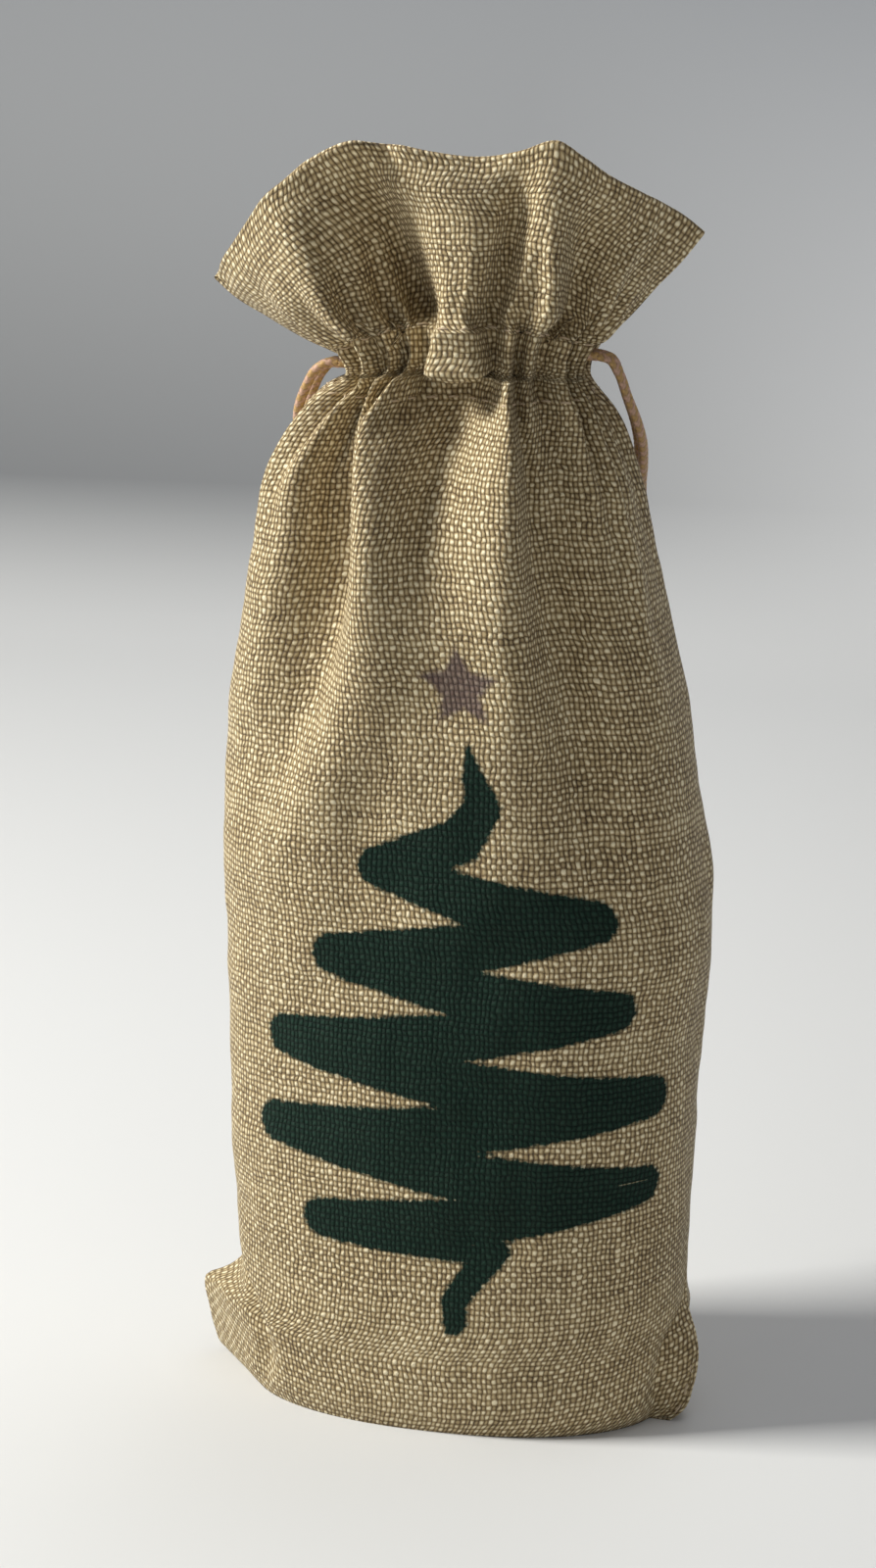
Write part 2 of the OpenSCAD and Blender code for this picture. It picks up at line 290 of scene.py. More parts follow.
# Where each side seam runs round the bottom corner: height, x, y.
LEFT_EDGE = [
    (0, -62.6, -1.0), (1.5, -64.4, -1.5), (6, -66.4, -1.5), (12, -68.2, -0.5), (18, -69.6, 0.5),
    (20.5, -68.4, 0.5), (22.5, -64.0, 0.3), (25.5, -60.0, 0.1), (33, -58.2, 0.0), (60, -59.3, 0.0),
]
RIGHT_EDGE = [
    (0, 54.8, -14.0), (2, 57.4, -13.0), (8, 59.8, -10.0), (15, 60.6, -8.0), (20, 59.4, -5.0),
    (25, 57.0, -2.0), (34, 55.8, 0.0), (60, 56.5, 0.0),
]
# Height, and the share of the half outline that the ear's flat facet takes, and how deep its crease is.
LEFT_FACET = [
    (0, 0.16, 0.2), (5, 0.18, 1.4), (14, 0.19, 2.8), (24, 0.15, 2.8), (34, 0.08, 1.2), (46, 0.0, 0.0),
]
RIGHT_FACET = [(0, 0.10, 0.3), (8, 0.10, 1.6), (20, 0.08, 1.4), (32, 0.0, 0.0), (48, 0.0, 0.0)]


def outline(half_width, half_depth, shift, side):
    """A half superellipse from the left seam to the right one, evenly spaced."""
    angle = np.linspace(math.pi, 2 * math.pi, FINE)
    cosine, sine = np.cos(angle), np.sin(angle)
    x = half_width * np.sign(cosine) * np.abs(cosine) ** (2 / OUTLINE_POWER) + shift
    y = side * half_depth * np.abs(sine) ** (2 / OUTLINE_POWER)
    return even_points(np.stack([x, y, np.zeros(FINE)], axis=1), FINE)


def edge_at(table, height, end_x):
    """Where a side seam is at one height: the ear low down, the section's own end above it."""
    x, y = through(table, height)
    own = ease((height - EAR_BLEND_FROM) / (EAR_TOP - EAR_BLEND_FROM))
    return (1 - own) * x + own * end_x, (1 - own) * y


def with_ear(points, height, side, table, facet, at_left):
    """Pulls one end of a half outline out to the bottom corner's ear, with a flat facet and a crease."""
    line = points if at_left else points[::-1]
    line = line.copy()
    share, crease = through(facet, height)
    end_x, end_y = edge_at(table, height, line[0, 0] / MM)
    end = np.array([end_x * MM, end_y * MM, line[0, 2]])
    count = max(int(share * FINE), 12)
    mix = np.linspace(0, 1, count)[:, None]
    line[:count] = (1 - mix) * end + mix * line[count - 1]
    pinch = np.exp(-((np.arange(FINE) - count) / (0.022 * FINE)) ** 2)
    inward = -level_normals(points if at_left else points[::-1])
    if not at_left:
        inward = -inward
    line += inward * (pinch * crease * MM)[:, None]
    line[0] = end
    line[:3 * count] = soften(line[:3 * count], 60)
    return line if at_left else line[::-1]


# ---------------------------------------------------------------- sack: gathers and folds

# Each gather: its share of the way across, its height (peak) and how far its ridge runs down, mm.
GATHERS = {
    FRONT: [
        (0.045, 4.4, 22), (0.125, 6.2, 30), (0.222, 7.4, 40), (0.292, 5.0, 18), (0.345, 7.2, 14),
        (0.682, 6.4, 14), (0.738, 5.8, 44), (0.848, 6.4, 24), (0.900, 5.0, 48), (0.960, 4.4, 24),
    ],
    BACK: [
        (0.045, 5.0, 30), (0.125, 6.0, 20), (0.215, 5.6, 52), (0.310, 6.2, 24), (0.395, 5.4, 60),
        (0.490, 6.2, 26), (0.580, 5.6, 46), (0.670, 6.0, 22), (0.760, 5.4, 54), (0.860, 6.0, 24),
        (0.955, 4.8, 34),
    ],
}
GATHER_BASE = 2.6               # how far the gathers' valleys lie inside the mean outline, mm
GATHER_HALF = 0.055             # the widest half of one gather, as a share of the width
GATHER_SPREAD = 0.010           # how much wider it gets with each mm below the casing
SETTLE_BELOW, SETTLE_ABOVE = 22, 14     # how far the valleys reach below and above the casing, mm

# Long folds below the neck: height, x, width to the left, width to the right, rise; all mm.
FOLDS = {
    FRONT: [
        [   # crest beside the left valley
            (250, -16.6, 3.0, 7, 3.0), (242, -17.0, 3.8, 8, 6.6), (230, -16.4, 5.0, 9, 8.4),
            (212, -15.4, 5.8, 10, 8.2), (196, -16.4, 6.6, 12, 6.0), (180, -20, 8, 13, 3.6),
            (158, -27, 9, 14, 1.6), (140, -31, 11, 15, 0.0),
        ],
        [   # left valley, a broad flat facet behind the crest
            (250, -22.5, 5, 3.4, -2.0), (242, -24.0, 8, 4.0, -5.6), (230, -25.4, 10, 4.6, -8.6),
            (212, -26.4, 12, 5.2, -9.8), (196, -29.0, 13, 6.4, -8.6), (178, -34, 12, 8, -5.8),
            (160, -40, 10, 9, -2.6), (144, -45, 9, 10, 0.0),
        ],
        [   # puffed edge beyond the facet
            (246, -34, 5, 5, 0.0), (232, -40, 5, 6, 2.2), (212, -43.5, 5, 6, 2.8), (190, -46, 5, 7, 2.0),
            (170, -49, 6, 8, 0.0),
        ],
        [   # hollow under the tab
            (258, 1.4, 9.0, 8.0, 0.0), (255.2, 1.4, 9.0, 8.0, -3.6), (252, 1.2, 9.0, 8.0, -6.8),
            (246, 0.6, 8.5, 8.5, -7.6), (238, -0.6, 7.5, 9.0, -6.2), (228, -3.6, 6.0, 9.0, -3.8),
            (216, -6.0, 5.0, 8.0, -1.6), (204, -8.0, 5, 8, 0.0),
        ],
        [   # pocket beside the tab
            (268, -10.4, 3.0, 2.8, -6.4), (260, -10.2, 3.0, 2.8, -5.6), (255, -9.4, 3.0, 2.8, -3.8),
            (250, -8.6, 3.0, 3.0, -1.6), (245, -8, 3, 3, 0.0),
        ],
        [   # right crest with its sharp far side
            (250, 13.6, 6.0, 1.9, 3.2), (242, 15.0, 8.5, 2.1, 6.0), (230, 16.6, 11, 2.4, 7.4),
            (212, 18.4, 13, 3.0, 7.2), (194, 20.6, 14, 4.2, 5.8), (176, 23.4, 14, 5.6, 3.8),
            (158, 26.0, 14, 7, 1.8), (140, 28, 14, 9, 0.0),
        ],
        [   # long right valley, falling away from the crest
            (250, 18.6, 3.0, 4.0, -2.0), (242, 21.4, 4.6, 5.0, -5.0), (230, 24.6, 6.5, 5.4, -7.4),
            (212, 28.0, 8.0, 6.0, -8.6), (194, 31.2, 9.0, 6.4, -8.0), (174, 34.4, 9.5, 7.0, -6.0),
            (152, 36.6, 10, 8, -3.2), (130, 38, 11, 10, 0.0),
        ],
        [   # swell of the left side, low down
            (186, -30, 9, 11, 0.0), (164, -32, 10, 12, 2.0), (140, -35, 11, 13, 1.8),
            (108, -34, 12, 14, 0.0),
        ],
        [   # soft hollow beside it
            (186, -20, 8, 9, 0.0), (160, -17, 10, 12, -1.4), (132, -15, 12, 14, -1.2),
            (100, -14, 12, 14, 0.0),
        ],
    ],
    BACK: [
        [
            (249, -20, 4, 5, 2.0), (240, -22, 6, 5, 4.6), (222, -24, 8, 7, 4.6), (200, -25, 10, 9, 2.2),
            (178, -26, 10, 10, 0.0),
        ],
        [
            (249, -8, 4, 4, -1.4), (238, -9, 6, 6, -5.2), (218, -10, 8, 8, -5.0), (192, -11, 9, 10, -2.4),
            (165, -12, 9, 10, 0.0),
        ],
        [
            (249, 4, 4, 4, 1.8), (238, 5, 6, 4, 5.0), (215, 7, 9, 5, 4.8), (190, 9, 10, 9, 2.2),
            (168, 10, 10, 10, 0.0),
        ],
        [
            (249, 17, 4, 4, -1.0), (238, 19, 5, 6, -4.6), (215, 23, 7, 9, -5.2), (190, 26, 9, 10, -3.0),
            (160, 28, 10, 10, 0.0),
        ],
    ],
}


def seam_mask(share):
    """1 at the two side seams and 0 beside them."""
    return np.clip(np.exp(-((share / SEAM_FADE) ** 2)) + np.exp(-(((1 - share) / SEAM_FADE) ** 2)), 0, 1)


def gather_rise(share, side, below, above):
    """How far the gathers push the cloth out: below and above are distances from the casing, mm."""
    gathers = GATHERS[side]
    places = [g[0] for g in gathers]
    total = np.zeros_like(share)
    for i, (place, rise, reach) in enumerate(gathers):
        left_gap = place - (places[i - 1] if i else -place)
        right_gap = (places[i + 1] if i + 1 < len(places) else 2 - place) - place
        left_half, right_half = min(left_gap / 2, GATHER_HALF), min(right_gap / 2, GATHER_HALF)
        spread = 1 + GATHER_SPREAD * below
        offset = share - place
        scaled = np.where(offset < 0, offset / (left_half * spread), offset / (right_half * spread))
        bell = np.where(np.abs(scaled) < 1, 0.5 * (1 + np.cos(math.pi * scaled)), 0)
        fade = math.exp(-((below / reach) ** 1.6)) * math.exp(-((above / (10 + 0.34 * reach)) ** 1.5))
        total += bell * rise * fade
    settle = math.exp(-((below / SETTLE_BELOW) ** 1.5)) * math.exp(-((above / SETTLE_ABOVE) ** 1.5))
    return total - GATHER_BASE * settle


def fold_rise(points, height, side):
    """Rise of the long folds over a level section, mm."""
    x = points[:, 0] / MM
    total = np.zeros(len(points))
    for fold in FOLDS[side]:
        heights = [row[0] for row in fold]
        if not min(heights) < height <= max(heights) + 6:
            continue
        rows = sorted(fold)
        centre, left, right, rise = through(rows, height)
        width = np.where(x < centre, left, right)
        total += rise * np.exp(-(((x - centre) / width) ** 2))
    return total


TAB_CENTRE = 0.520
TAB_HALF = [(252, 0.122), (257, 0.118), (262, 0.092), (267, 0.072), (272, 0.066)]     # height in mm, share
TAB_LOW = 255.0                 # where the tab's lower edge hangs over the neck, mm
TAB_RISE = 7.0                  # how far it stands out of the neck, mm
TAB_ROUND = 2.4                 # how much higher its lower edge is at its sides, mm


def tab_shape(share, height):
    """1 over the middle of the front, where the cloth stands out of the neck as a flat tab."""
    half = through(TAB_HALF, height)
    return np.exp(-(((share - TAB_CENTRE) / half) ** 8))


low_waves = Waves(3, 0.030)
fine_waves = Waves(8, 0.011)


def unevenness(points, side, cloth_height):
    """Small, soft waves that no real cloth is without, in metres."""
    x = points[:, 0] + side * 0.4
    return (low_waves(x, cloth_height) * 0.35 + fine_waves(x, cloth_height) * 0.10) * MM


# ---------------------------------------------------------------- sack wall and neck, row by row

def wall_row(height, side):
    """One level row of the sack or its neck at a height in mm, as FINE points."""
    half_width, half_depth, shift = through(SECTIONS, height)
    points = outline(half_width * MM, half_depth * MM, shift * MM, side)
    points[:, 2] = height * MM
    share = np.linspace(0, 1, FINE)
    if height < EAR_TOP:
        points = with_ear(points, height, side, LEFT_EDGE, LEFT_FACET, True)
        points = with_ear(points, height, side, RIGHT_EDGE, RIGHT_FACET, False)
    normal = level_normals(points) * -side
    below = max(0, CASING_MIDDLE - height)
    rise = np.zeros(FINE)
    drop = np.zeros(FINE)
    if height > GATHERS_FROM:
        lean = 0.006 * math.sin((height - 240) / 5.5)
        rise += gather_rise(share + lean * np.sin(share * 17.0 + 1.3), side, below, 0)
    if side == FRONT and height > TAB_FROM:
        tab = tab_shape(share, height)
        edge_rise = TAB_ROUND * ((share - TAB_CENTRE) / TAB_HALF[0][1]) ** 2
        lower_edge = ease((height - TAB_LOW - edge_rise) / 1.8)
        rise = rise * (1 - tab * lower_edge) + TAB_RISE * tab * lower_edge
        drop += 1.8 * tab * lower_edge * ease((262 - height) / 7)
    rise += fold_rise(points, height, side)
    inside = 1 - seam_mask(share)
    rise = rise * inside
    offset = rise * MM + unevenness(points, side, height * MM) * inside * ease(height / 20)
    points = points + normal * offset[:, None]
    points[:, 2] -= drop * MM
    return points


# ---------------------------------------------------------------- ruffle

# The ruffle's shape as rows of (share across, x, y, z) in mm, at a few shares of its height.
RUFFLE = {
    FRONT: [
        (0.12, [
            (0, -31.6, -0.6, 258.4), (0.10, -29, -8.6, 260.5), (0.225, -22.6, -17.4, 264.6),
            (0.33, -14.5, -9.6, 267.5), (0.405, -9.6, -6.4, 269.4), (0.446, -5.4, -13.2, 270.4),
            (0.480, -2.6, -19.8, 270.8), (0.55, 2.2, -22.2, 271), (0.605, 6.8, -21.2, 270.8),
            (0.640, 9.4, -14.0, 270.4), (0.705, 16.0, -18.6, 270), (0.745, 22.6, -17.6, 269.4),
            (0.775, 24.0, -12.5, 268.8), (0.88, 28.4, -8.6, 266), (1, 32.2, -0.6, 262.8),
        ]),
        (0.28, [
            (0, -37.5, -0.6, 260.4), (0.10, -34.5, -9.5, 263), (0.220, -27.4, -18.6, 268.2),
            (0.33, -17.6, -8.0, 272), (0.400, -11.4, -2.8, 274), (0.438, -7.0, -9.6, 275.4),
            (0.468, -3.4, -17.6, 276), (0.55, 3.2, -22.8, 276.5), (0.610, 8.0, -22.0, 276.3),
            (0.644, 10.6, -14.0, 276), (0.702, 18.0, -20.0, 275.4), (0.738, 23.4, -19.4, 274.6),
            (0.765, 24.8, -13.6, 273.6), (0.87, 31, -9.4, 270.6), (1, 36.4, -0.6, 267.2),
        ]),
        (0.60, [
            (0, -49.4, -0.6, 266.6), (0.10, -43.6, -11, 270.4), (0.195, -36.2, -19.8, 278.0),
            (0.30, -23.6, -13.6, 286), (0.385, -16.6, -7.6, 290), (0.425, -12.4, -12.6, 291.2),
            (0.455, -9.0, -18.0, 291.8), (0.51, -2.6, -23.6, 292), (0.612, 11.0, -24.6, 292),
            (0.650, 14.4, -18.0, 292), (0.71, 22.6, -25.0, 291.5), (0.742, 25.6, -22.4, 290.4),
            (0.80, 29.6, -14.0, 287.4), (0.90, 38.4, -10.6, 281.8), (1, 44.6, -0.6, 276.2),
        ]),
        (0.82, [
            (0, -56.6, -0.6, 270.6), (0.09, -50.6, -10, 276.2), (0.17, -44.2, -17.6, 284.2),
            (0.27, -32.2, -19.4, 294.4), (0.365, -21.4, -15.6, 299.6), (0.405, -17.2, -18.0, 300.6),
            (0.440, -13.2, -22.0, 301.0), (0.50, -5.0, -25.2, 300.4), (0.61, 11, -24.4, 299.8),
            (0.652, 16.4, -22.4, 300.2), (0.71, 24.8, -26.4, 300.8), (0.75, 30.0, -22.8, 298.0),
            (0.81, 35.4, -17.4, 294.4), (0.90, 43.4, -9.6, 288.4), (1, 50.2, -0.6, 282),
        ]),
        (1.00, [
            (0, -61.4, -0.6, 274.6), (0.08, -56, -8, 281.5), (0.16, -49.5, -14.0, 289.5),
            (0.25, -39.5, -20.0, 298.6), (0.33, -31, -24.4, 304.0), (0.392, -20.0, -27.0, 308.2),
            (0.435, -13.8, -24.0, 307.8), (0.465, -9.6, -26.2, 307.6), (0.52, -2.4, -25.0, 306.6),
            (0.58, 7, -24.0, 305.6), (0.65, 17.5, -25.0, 306.8),
            (0.71, 26.4, -27.2, 309.4), (0.745, 32, -24.8, 305.6), (0.80, 37.2, -20.0, 301),
            (0.87, 43.6, -13.5, 297.0), (0.94, 49.8, -6.0, 292.8), (1, 54.8, -0.6, 287.8),
        ]),
    ],
    BACK: [
        (0.28, [
            (0, -37.5, -0.6, 260.4), (0.12, -33, 9, 263.5), (0.22, -26, 16, 267), (0.32, -18, 9.5, 270),
            (0.44, -8, 18, 272), (0.55, 2, 11, 273), (0.66, 12, 18.5, 272.5), (0.77, 21, 10.5, 271.5),
            (0.88, 30, 10.5, 269.8), (1, 36.4, -0.6, 267.2),
        ]),
        (0.60, [
            (0, -49.4, -0.6, 266.6), (0.12, -43, 10, 271.5), (0.22, -34, 18, 278.5),
            (0.33, -22, 13.5, 284.5),
            (0.45, -8, 21, 286.5), (0.55, 5, 15.5, 287), (0.66, 16, 22, 286), (0.78, 28, 15, 282.5),
            (0.90, 38, 11, 278), (1, 44.6, -0.6, 276.2),
        ]),
        (1.00, [
            (0, -61.4, -0.6, 274.6), (0.10, -54, 8.5, 283.4), (0.22, -42, 16.5, 292.2),
            (0.36, -24, 20.5, 298.6),
            (0.50, -4, 24.5, 300.4), (0.62, 13, 22, 300.0), (0.74, 29, 21, 294.4), (0.87, 43, 13, 290.2),
            (1, 54.8, -0.6, 287.8),
        ]),
    ],
}
NECK_END_DROP = (9.0, 5.0)      # how much lower the casing's top is at the left and right seams, mm


def casing_tilt(share, height):
    """The casing's top sinks towards the seams, where the corners of the ruffle droop."""
    left = NECK_END_DROP[0] * np.exp(-((share / 0.22) ** 2))
    right = NECK_END_DROP[1] * np.exp(-(((1 - share) / 0.22) ** 2))
    return (left + right) * ease((height - NECK_BOTTOM) / (NECK_TOP - NECK_BOTTOM))


def ruffle_row(level, side, neck_row):
    """One row of the ruffle: level runs from 0 at the neck to 1 at the rim."""
    share = np.linspace(0, 1, FINE)
    rows = [(0.0, neck_row)]
    for at, control in RUFFLE[side]:
        rows.append((at, through(control, share) * MM))
    levels = np.array([r[0] for r in rows])
    stack = np.array([r[1] for r in rows])
    flat = stack.reshape(len(rows), -1)
    table = np.concatenate([levels[:, None], flat], axis=1)
    points = through(table, np.array([level]))[0].reshape(FINE, 3)
    normal = level_normals(points, RUFFLE_WINDOW) * -side
    above = level * RUFFLE_LENGTH
    detail = gather_rise(share, side, 0, above)
    if side == FRONT:
        detail = detail * (1 - tab_shape(share, NECK_TOP + above))
    rim_wave = 0.5 * np.sin(share * 41 + side) * ease((level - 0.6) / 0.4)
    offset = (detail + rim_wave) * MM + unevenness(points, side, 0.3 + level * 0.045)
    return points + normal * (offset * (1 - seam_mask(share)))[:, None]


def build_side(side):
    """Every row of one side of the bag: under the base, wall, casing and ruffle."""
    rows, groups, cloth_v = [], [], []

    def add(points, group, advance=None):
        row = even_points(points, COLUMNS)
        if advance is None:
            middle = slice(COLUMNS // 3, 2 * COLUMNS // 3)
            advance = float(np.median(np.linalg.norm((row - rows[-1])[middle], axis=1))) if rows else 0
        cloth_v.append((cloth_v[-1] if cloth_v else 0) + advance)
        rows.append(row)
        groups.append(group)

    floor_row = wall_row(0.0, side)
    left, right = floor_row[0], floor_row[-1]
    seam_line = np.linspace(left, right, FINE)
    for share in np.linspace(0, 0.94, 22):
        points = (1 - share) * seam_line + share * floor_row
        points[:, 2] = (0.5 + 0.5 * (1 - share)) * MM
        add(points, "panel", BASE_HALF_DEPTH / 23)
    edge_heights = [0.0, 0.5, 1.2, 2.2]
    wall_heights = np.concatenate([edge_heights, np.arange(3.4, 240, 1.25), np.arange(240, 248.9, 0.8)])
    for height in wall_heights:
        add(wall_row(float(height), side), "panel")
    neck_heights = np.linspace(NECK_BOTTOM, NECK_TOP, 25)
    share = np.linspace(0, 1, FINE)
    for height in neck_heights:
        points = wall_row(float(height), side)
        points[:, 2] -= casing_tilt(share, height) * MM
        neck_row = points
        if height == neck_heights[0]:
            add(points, "panel")
        add(points, "casing", 0.0 if height == neck_heights[0] else None)
    plain_neck = wall_row(NECK_TOP, side)
    rise = gather_rise(share, side, 0, 0) * MM
    if side == FRONT:
        rise = rise * (1 - tab_shape(share, NECK_TOP))
    normal = level_normals(outline(NECK_WIDTH * MM, NECK_DEPTH * MM, 0, side)) * -side
    base_neck = plain_neck - normal * (rise * (1 - seam_mask(share)))[:, None]
    base_neck[:, 2] -= casing_tilt(share, NECK_TOP) * MM
    add(neck_row, "ruffle", 0.0)
    for level in np.linspace(0, 1, 46)[1:]:
        add(ruffle_row(float(level), side, base_neck), "ruffle")

    grid = np.array(rows)
    return grid, groups, np.array(cloth_v)


def grid_normals(grid, side):
    """Outward unit normals of a grid of points."""
    across = np.gradient(grid, axis=1)
    up = np.gradient(grid, axis=0)
    normal = np.cross(across, up) * (-side)
    length = np.linalg.norm(normal, axis=2)[..., None]
    return normal / np.maximum(length, 1e-12)


# ---------------------------------------------------------------- meshes from grids

def grid_mesh(name, grid, normals, u, v, side, extra=()):
    """A mesh object over a grid, with the cloth's flat coordinates as its UV map and smooth kept normals."""
    row_count, column_count = grid.shape[:2]
    mesh = bpy.data.meshes.new(name)
    index = np.arange(row_count * column_count).reshape(row_count, column_count)
    corners = [index[:-1, :-1], index[:-1, 1:], index[1:, 1:], index[1:, :-1]]
    quads = np.stack(corners, axis=-1).reshape(-1, 4)
    if side == BACK:
        quads = quads[:, ::-1]
    mesh.from_pydata(grid.reshape(-1, 3).tolist(), [], quads.tolist())
    set_uv(mesh, "cloth", np.stack([u.reshape(-1), v.reshape(-1)], axis=1))
    kept = mesh.attributes.new("kept_normal", "FLOAT_VECTOR", "POINT")
    kept.data.foreach_set("vector", normals.reshape(-1).astype(np.float32))
    for key in extra:
        set_values(mesh, key, extra[key])
    return placed(name, mesh)


def finish_normals(obj):
    """Sets the kept normals, so that pieces cut from one sheet shade as one."""
    mesh = obj.data
    mesh.polygons.foreach_set("use_smooth", [True] * len(mesh.polygons))
    kept = mesh.attributes["kept_normal"]
    values = np.zeros(len(mesh.vertices) * 3, np.float32)
    kept.data.foreach_get("vector", values)
    values = values.reshape(-1, 3)
    values /= np.linalg.norm(values, axis=1)[:, None] + 1e-12
    mesh.normals_split_custom_set_from_vertices(values.tolist())
    mesh.attributes.remove(mesh.attributes["kept_normal"])


def cut_off_edges(obj, side):
    """Cuts the cloth beside the side seams off a panel along a sloping plane, into a middle and two edge
    pieces.
    """
    mesh = bmesh.new()
    mesh.from_mesh(obj.data)
    low = BEND_LOW[side]
    slope = BEND_DEPTH[side] / (BEND_HIGH - low)
    plane_normal = Vector((0, side, -slope)).normalized()
    plane_point = Vector((0, 0, low))
    faces = [f for f in mesh.faces if f.calc_center_median().z > low - 2 * MM]
    geometry = list({v for f in faces for v in f.verts}) + list({e for f in faces for e in f.edges}) + faces
    bmesh.ops.bisect_plane(mesh, geom=geometry, plane_co=plane_point, plane_no=plane_normal, dist=1e-7)
    pieces = []
    for want in ("middle", "left_edge", "right_edge"):
        part = mesh.copy()
        part.faces.ensure_lookup_table()
        drop = []
        for f in part.faces:
            c = f.calc_center_median()
            outside = c.z > low and (c - plane_point).dot(plane_normal) < 0
            where = "middle" if not outside else ("left_edge" if c.x < 0 else "right_edge")
            if where != want:
                drop.append(f)
        bmesh.ops.delete(part, geom=drop, context="FACES")
        data = bpy.data.meshes.new(f"{obj.name}_{want}")
        part.to_mesh(data)
        part.free()
        pieces.append(placed(f"{obj.name}_{want}", data))
    mesh.free()
    bpy.data.objects.remove(obj)
    return pieces


# ---------------------------------------------------------------- materials

class Nodes:
    """Shorthand for building a node material."""

    def __init__(self, name):
        self.material = bpy.data.materials.new(name)
        self.material.use_nodes = True
        self.tree = self.material.node_tree
        self.shader = self.tree.nodes["Principled BSDF"]

    def node(self, kind, **settings):
        made = self.tree.nodes.new(kind)
        for key, value in settings.items():
            setattr(made, key, value)
        return made

    def link(self, source, target):
        if isinstance(source, (int, float)):
            target.default_value = source
        else:
            self.tree.links.new(source, target)

    def math(self, operation, a, b=0.0, c=0.0, clamp=False):
        made = self.node("ShaderNodeMath", operation=operation, use_clamp=clamp)
        for socket, value in zip(made.inputs, (a, b, c)):
            self.link(value, socket)
        return made.outputs[0]

    def vector(self, x, y, z=0.0):
        made = self.node("ShaderNodeCombineXYZ")
        for socket, value in zip(made.inputs, (x, y, z)):
            self.link(value, socket)
        return made.outputs[0]

    def stretched(self, x, x_scale, y, y_scale, z=0.0):
        """A vector of two coordinates, each scaled."""
        return self.vector(self.math("MULTIPLY", x, x_scale), self.math("MULTIPLY", y, y_scale), z)

    def swayed(self, base, noise, middle, weight):
        """A value moved up or down by how far a noise is from its middle."""
        return self.math("MULTIPLY_ADD", self.math("SUBTRACT", noise, middle), weight, base)

    def noise(self, vector, scale, detail=2.0, roughness=0.5):
        made = self.node("ShaderNodeTexNoise")
        self.link(vector, made.inputs["Vector"])
        made.inputs["Scale"].default_value = scale
        made.inputs["Detail"].default_value = detail
        made.inputs["Roughness"].default_value = roughness
        return made.outputs["Fac"]

    def white_noise(self, vector):
        made = self.node("ShaderNodeTexWhiteNoise", noise_dimensions="3D")
        self.link(vector, made.inputs["Vector"])
        return made.outputs["Value"]

    def ramp(self, value, stops):
        made = self.node("ShaderNodeValToRGB")
        ramp = made.color_ramp
        while len(ramp.elements) < len(stops):
            ramp.elements.new(0.5)
        for element, (position, colour) in zip(ramp.elements, stops):
            element.position = position
            element.color = (*colour, 1)
        self.link(value, made.inputs["Fac"])
        return made.outputs["Color"]

    def mix(self, factor, a, b):
        made = self.node("ShaderNodeMix", data_type="RGBA")
        self.link(factor, made.inputs["Factor"])
        for value, socket in ((a, made.inputs["A"]), (b, made.inputs["B"])):
            if isinstance(value, tuple):
                socket.default_value = (*value, 1)
            else:
                self.link(value, socket)
        return made.outputs["Result"]

    def attribute(self, name):
        return self.node("ShaderNodeAttribute", attribute_name=name).outputs["Fac"]

    def split_uv(self, name):
        """A named UV map, whole and as its two coordinates."""
        uv = self.node("ShaderNodeUVMap", uv_map=name).outputs["UV"]
        split = self.node("ShaderNodeSeparateXYZ")
        self.link(uv, split.inputs[0])
        return uv, split.outputs["X"], split.outputs["Y"]

    def bump(self, height, strength, distance):
        made = self.node("ShaderNodeBump")
        made.inputs["Strength"].default_value = strength
        made.inputs["Distance"].default_value = distance
        self.link(height, made.inputs["Height"])
        self.link(made.outputs["Normal"], self.shader.inputs["Normal"])

    def surface(self, colour, **values):
        """The shader's colour, and its other sockets by name with _ for a space."""
        self.link(colour, self.shader.inputs["Base Color"])
        for key, value in values.items():
            self.link(value, self.shader.inputs[key.replace("_", " ")])
        return self.material


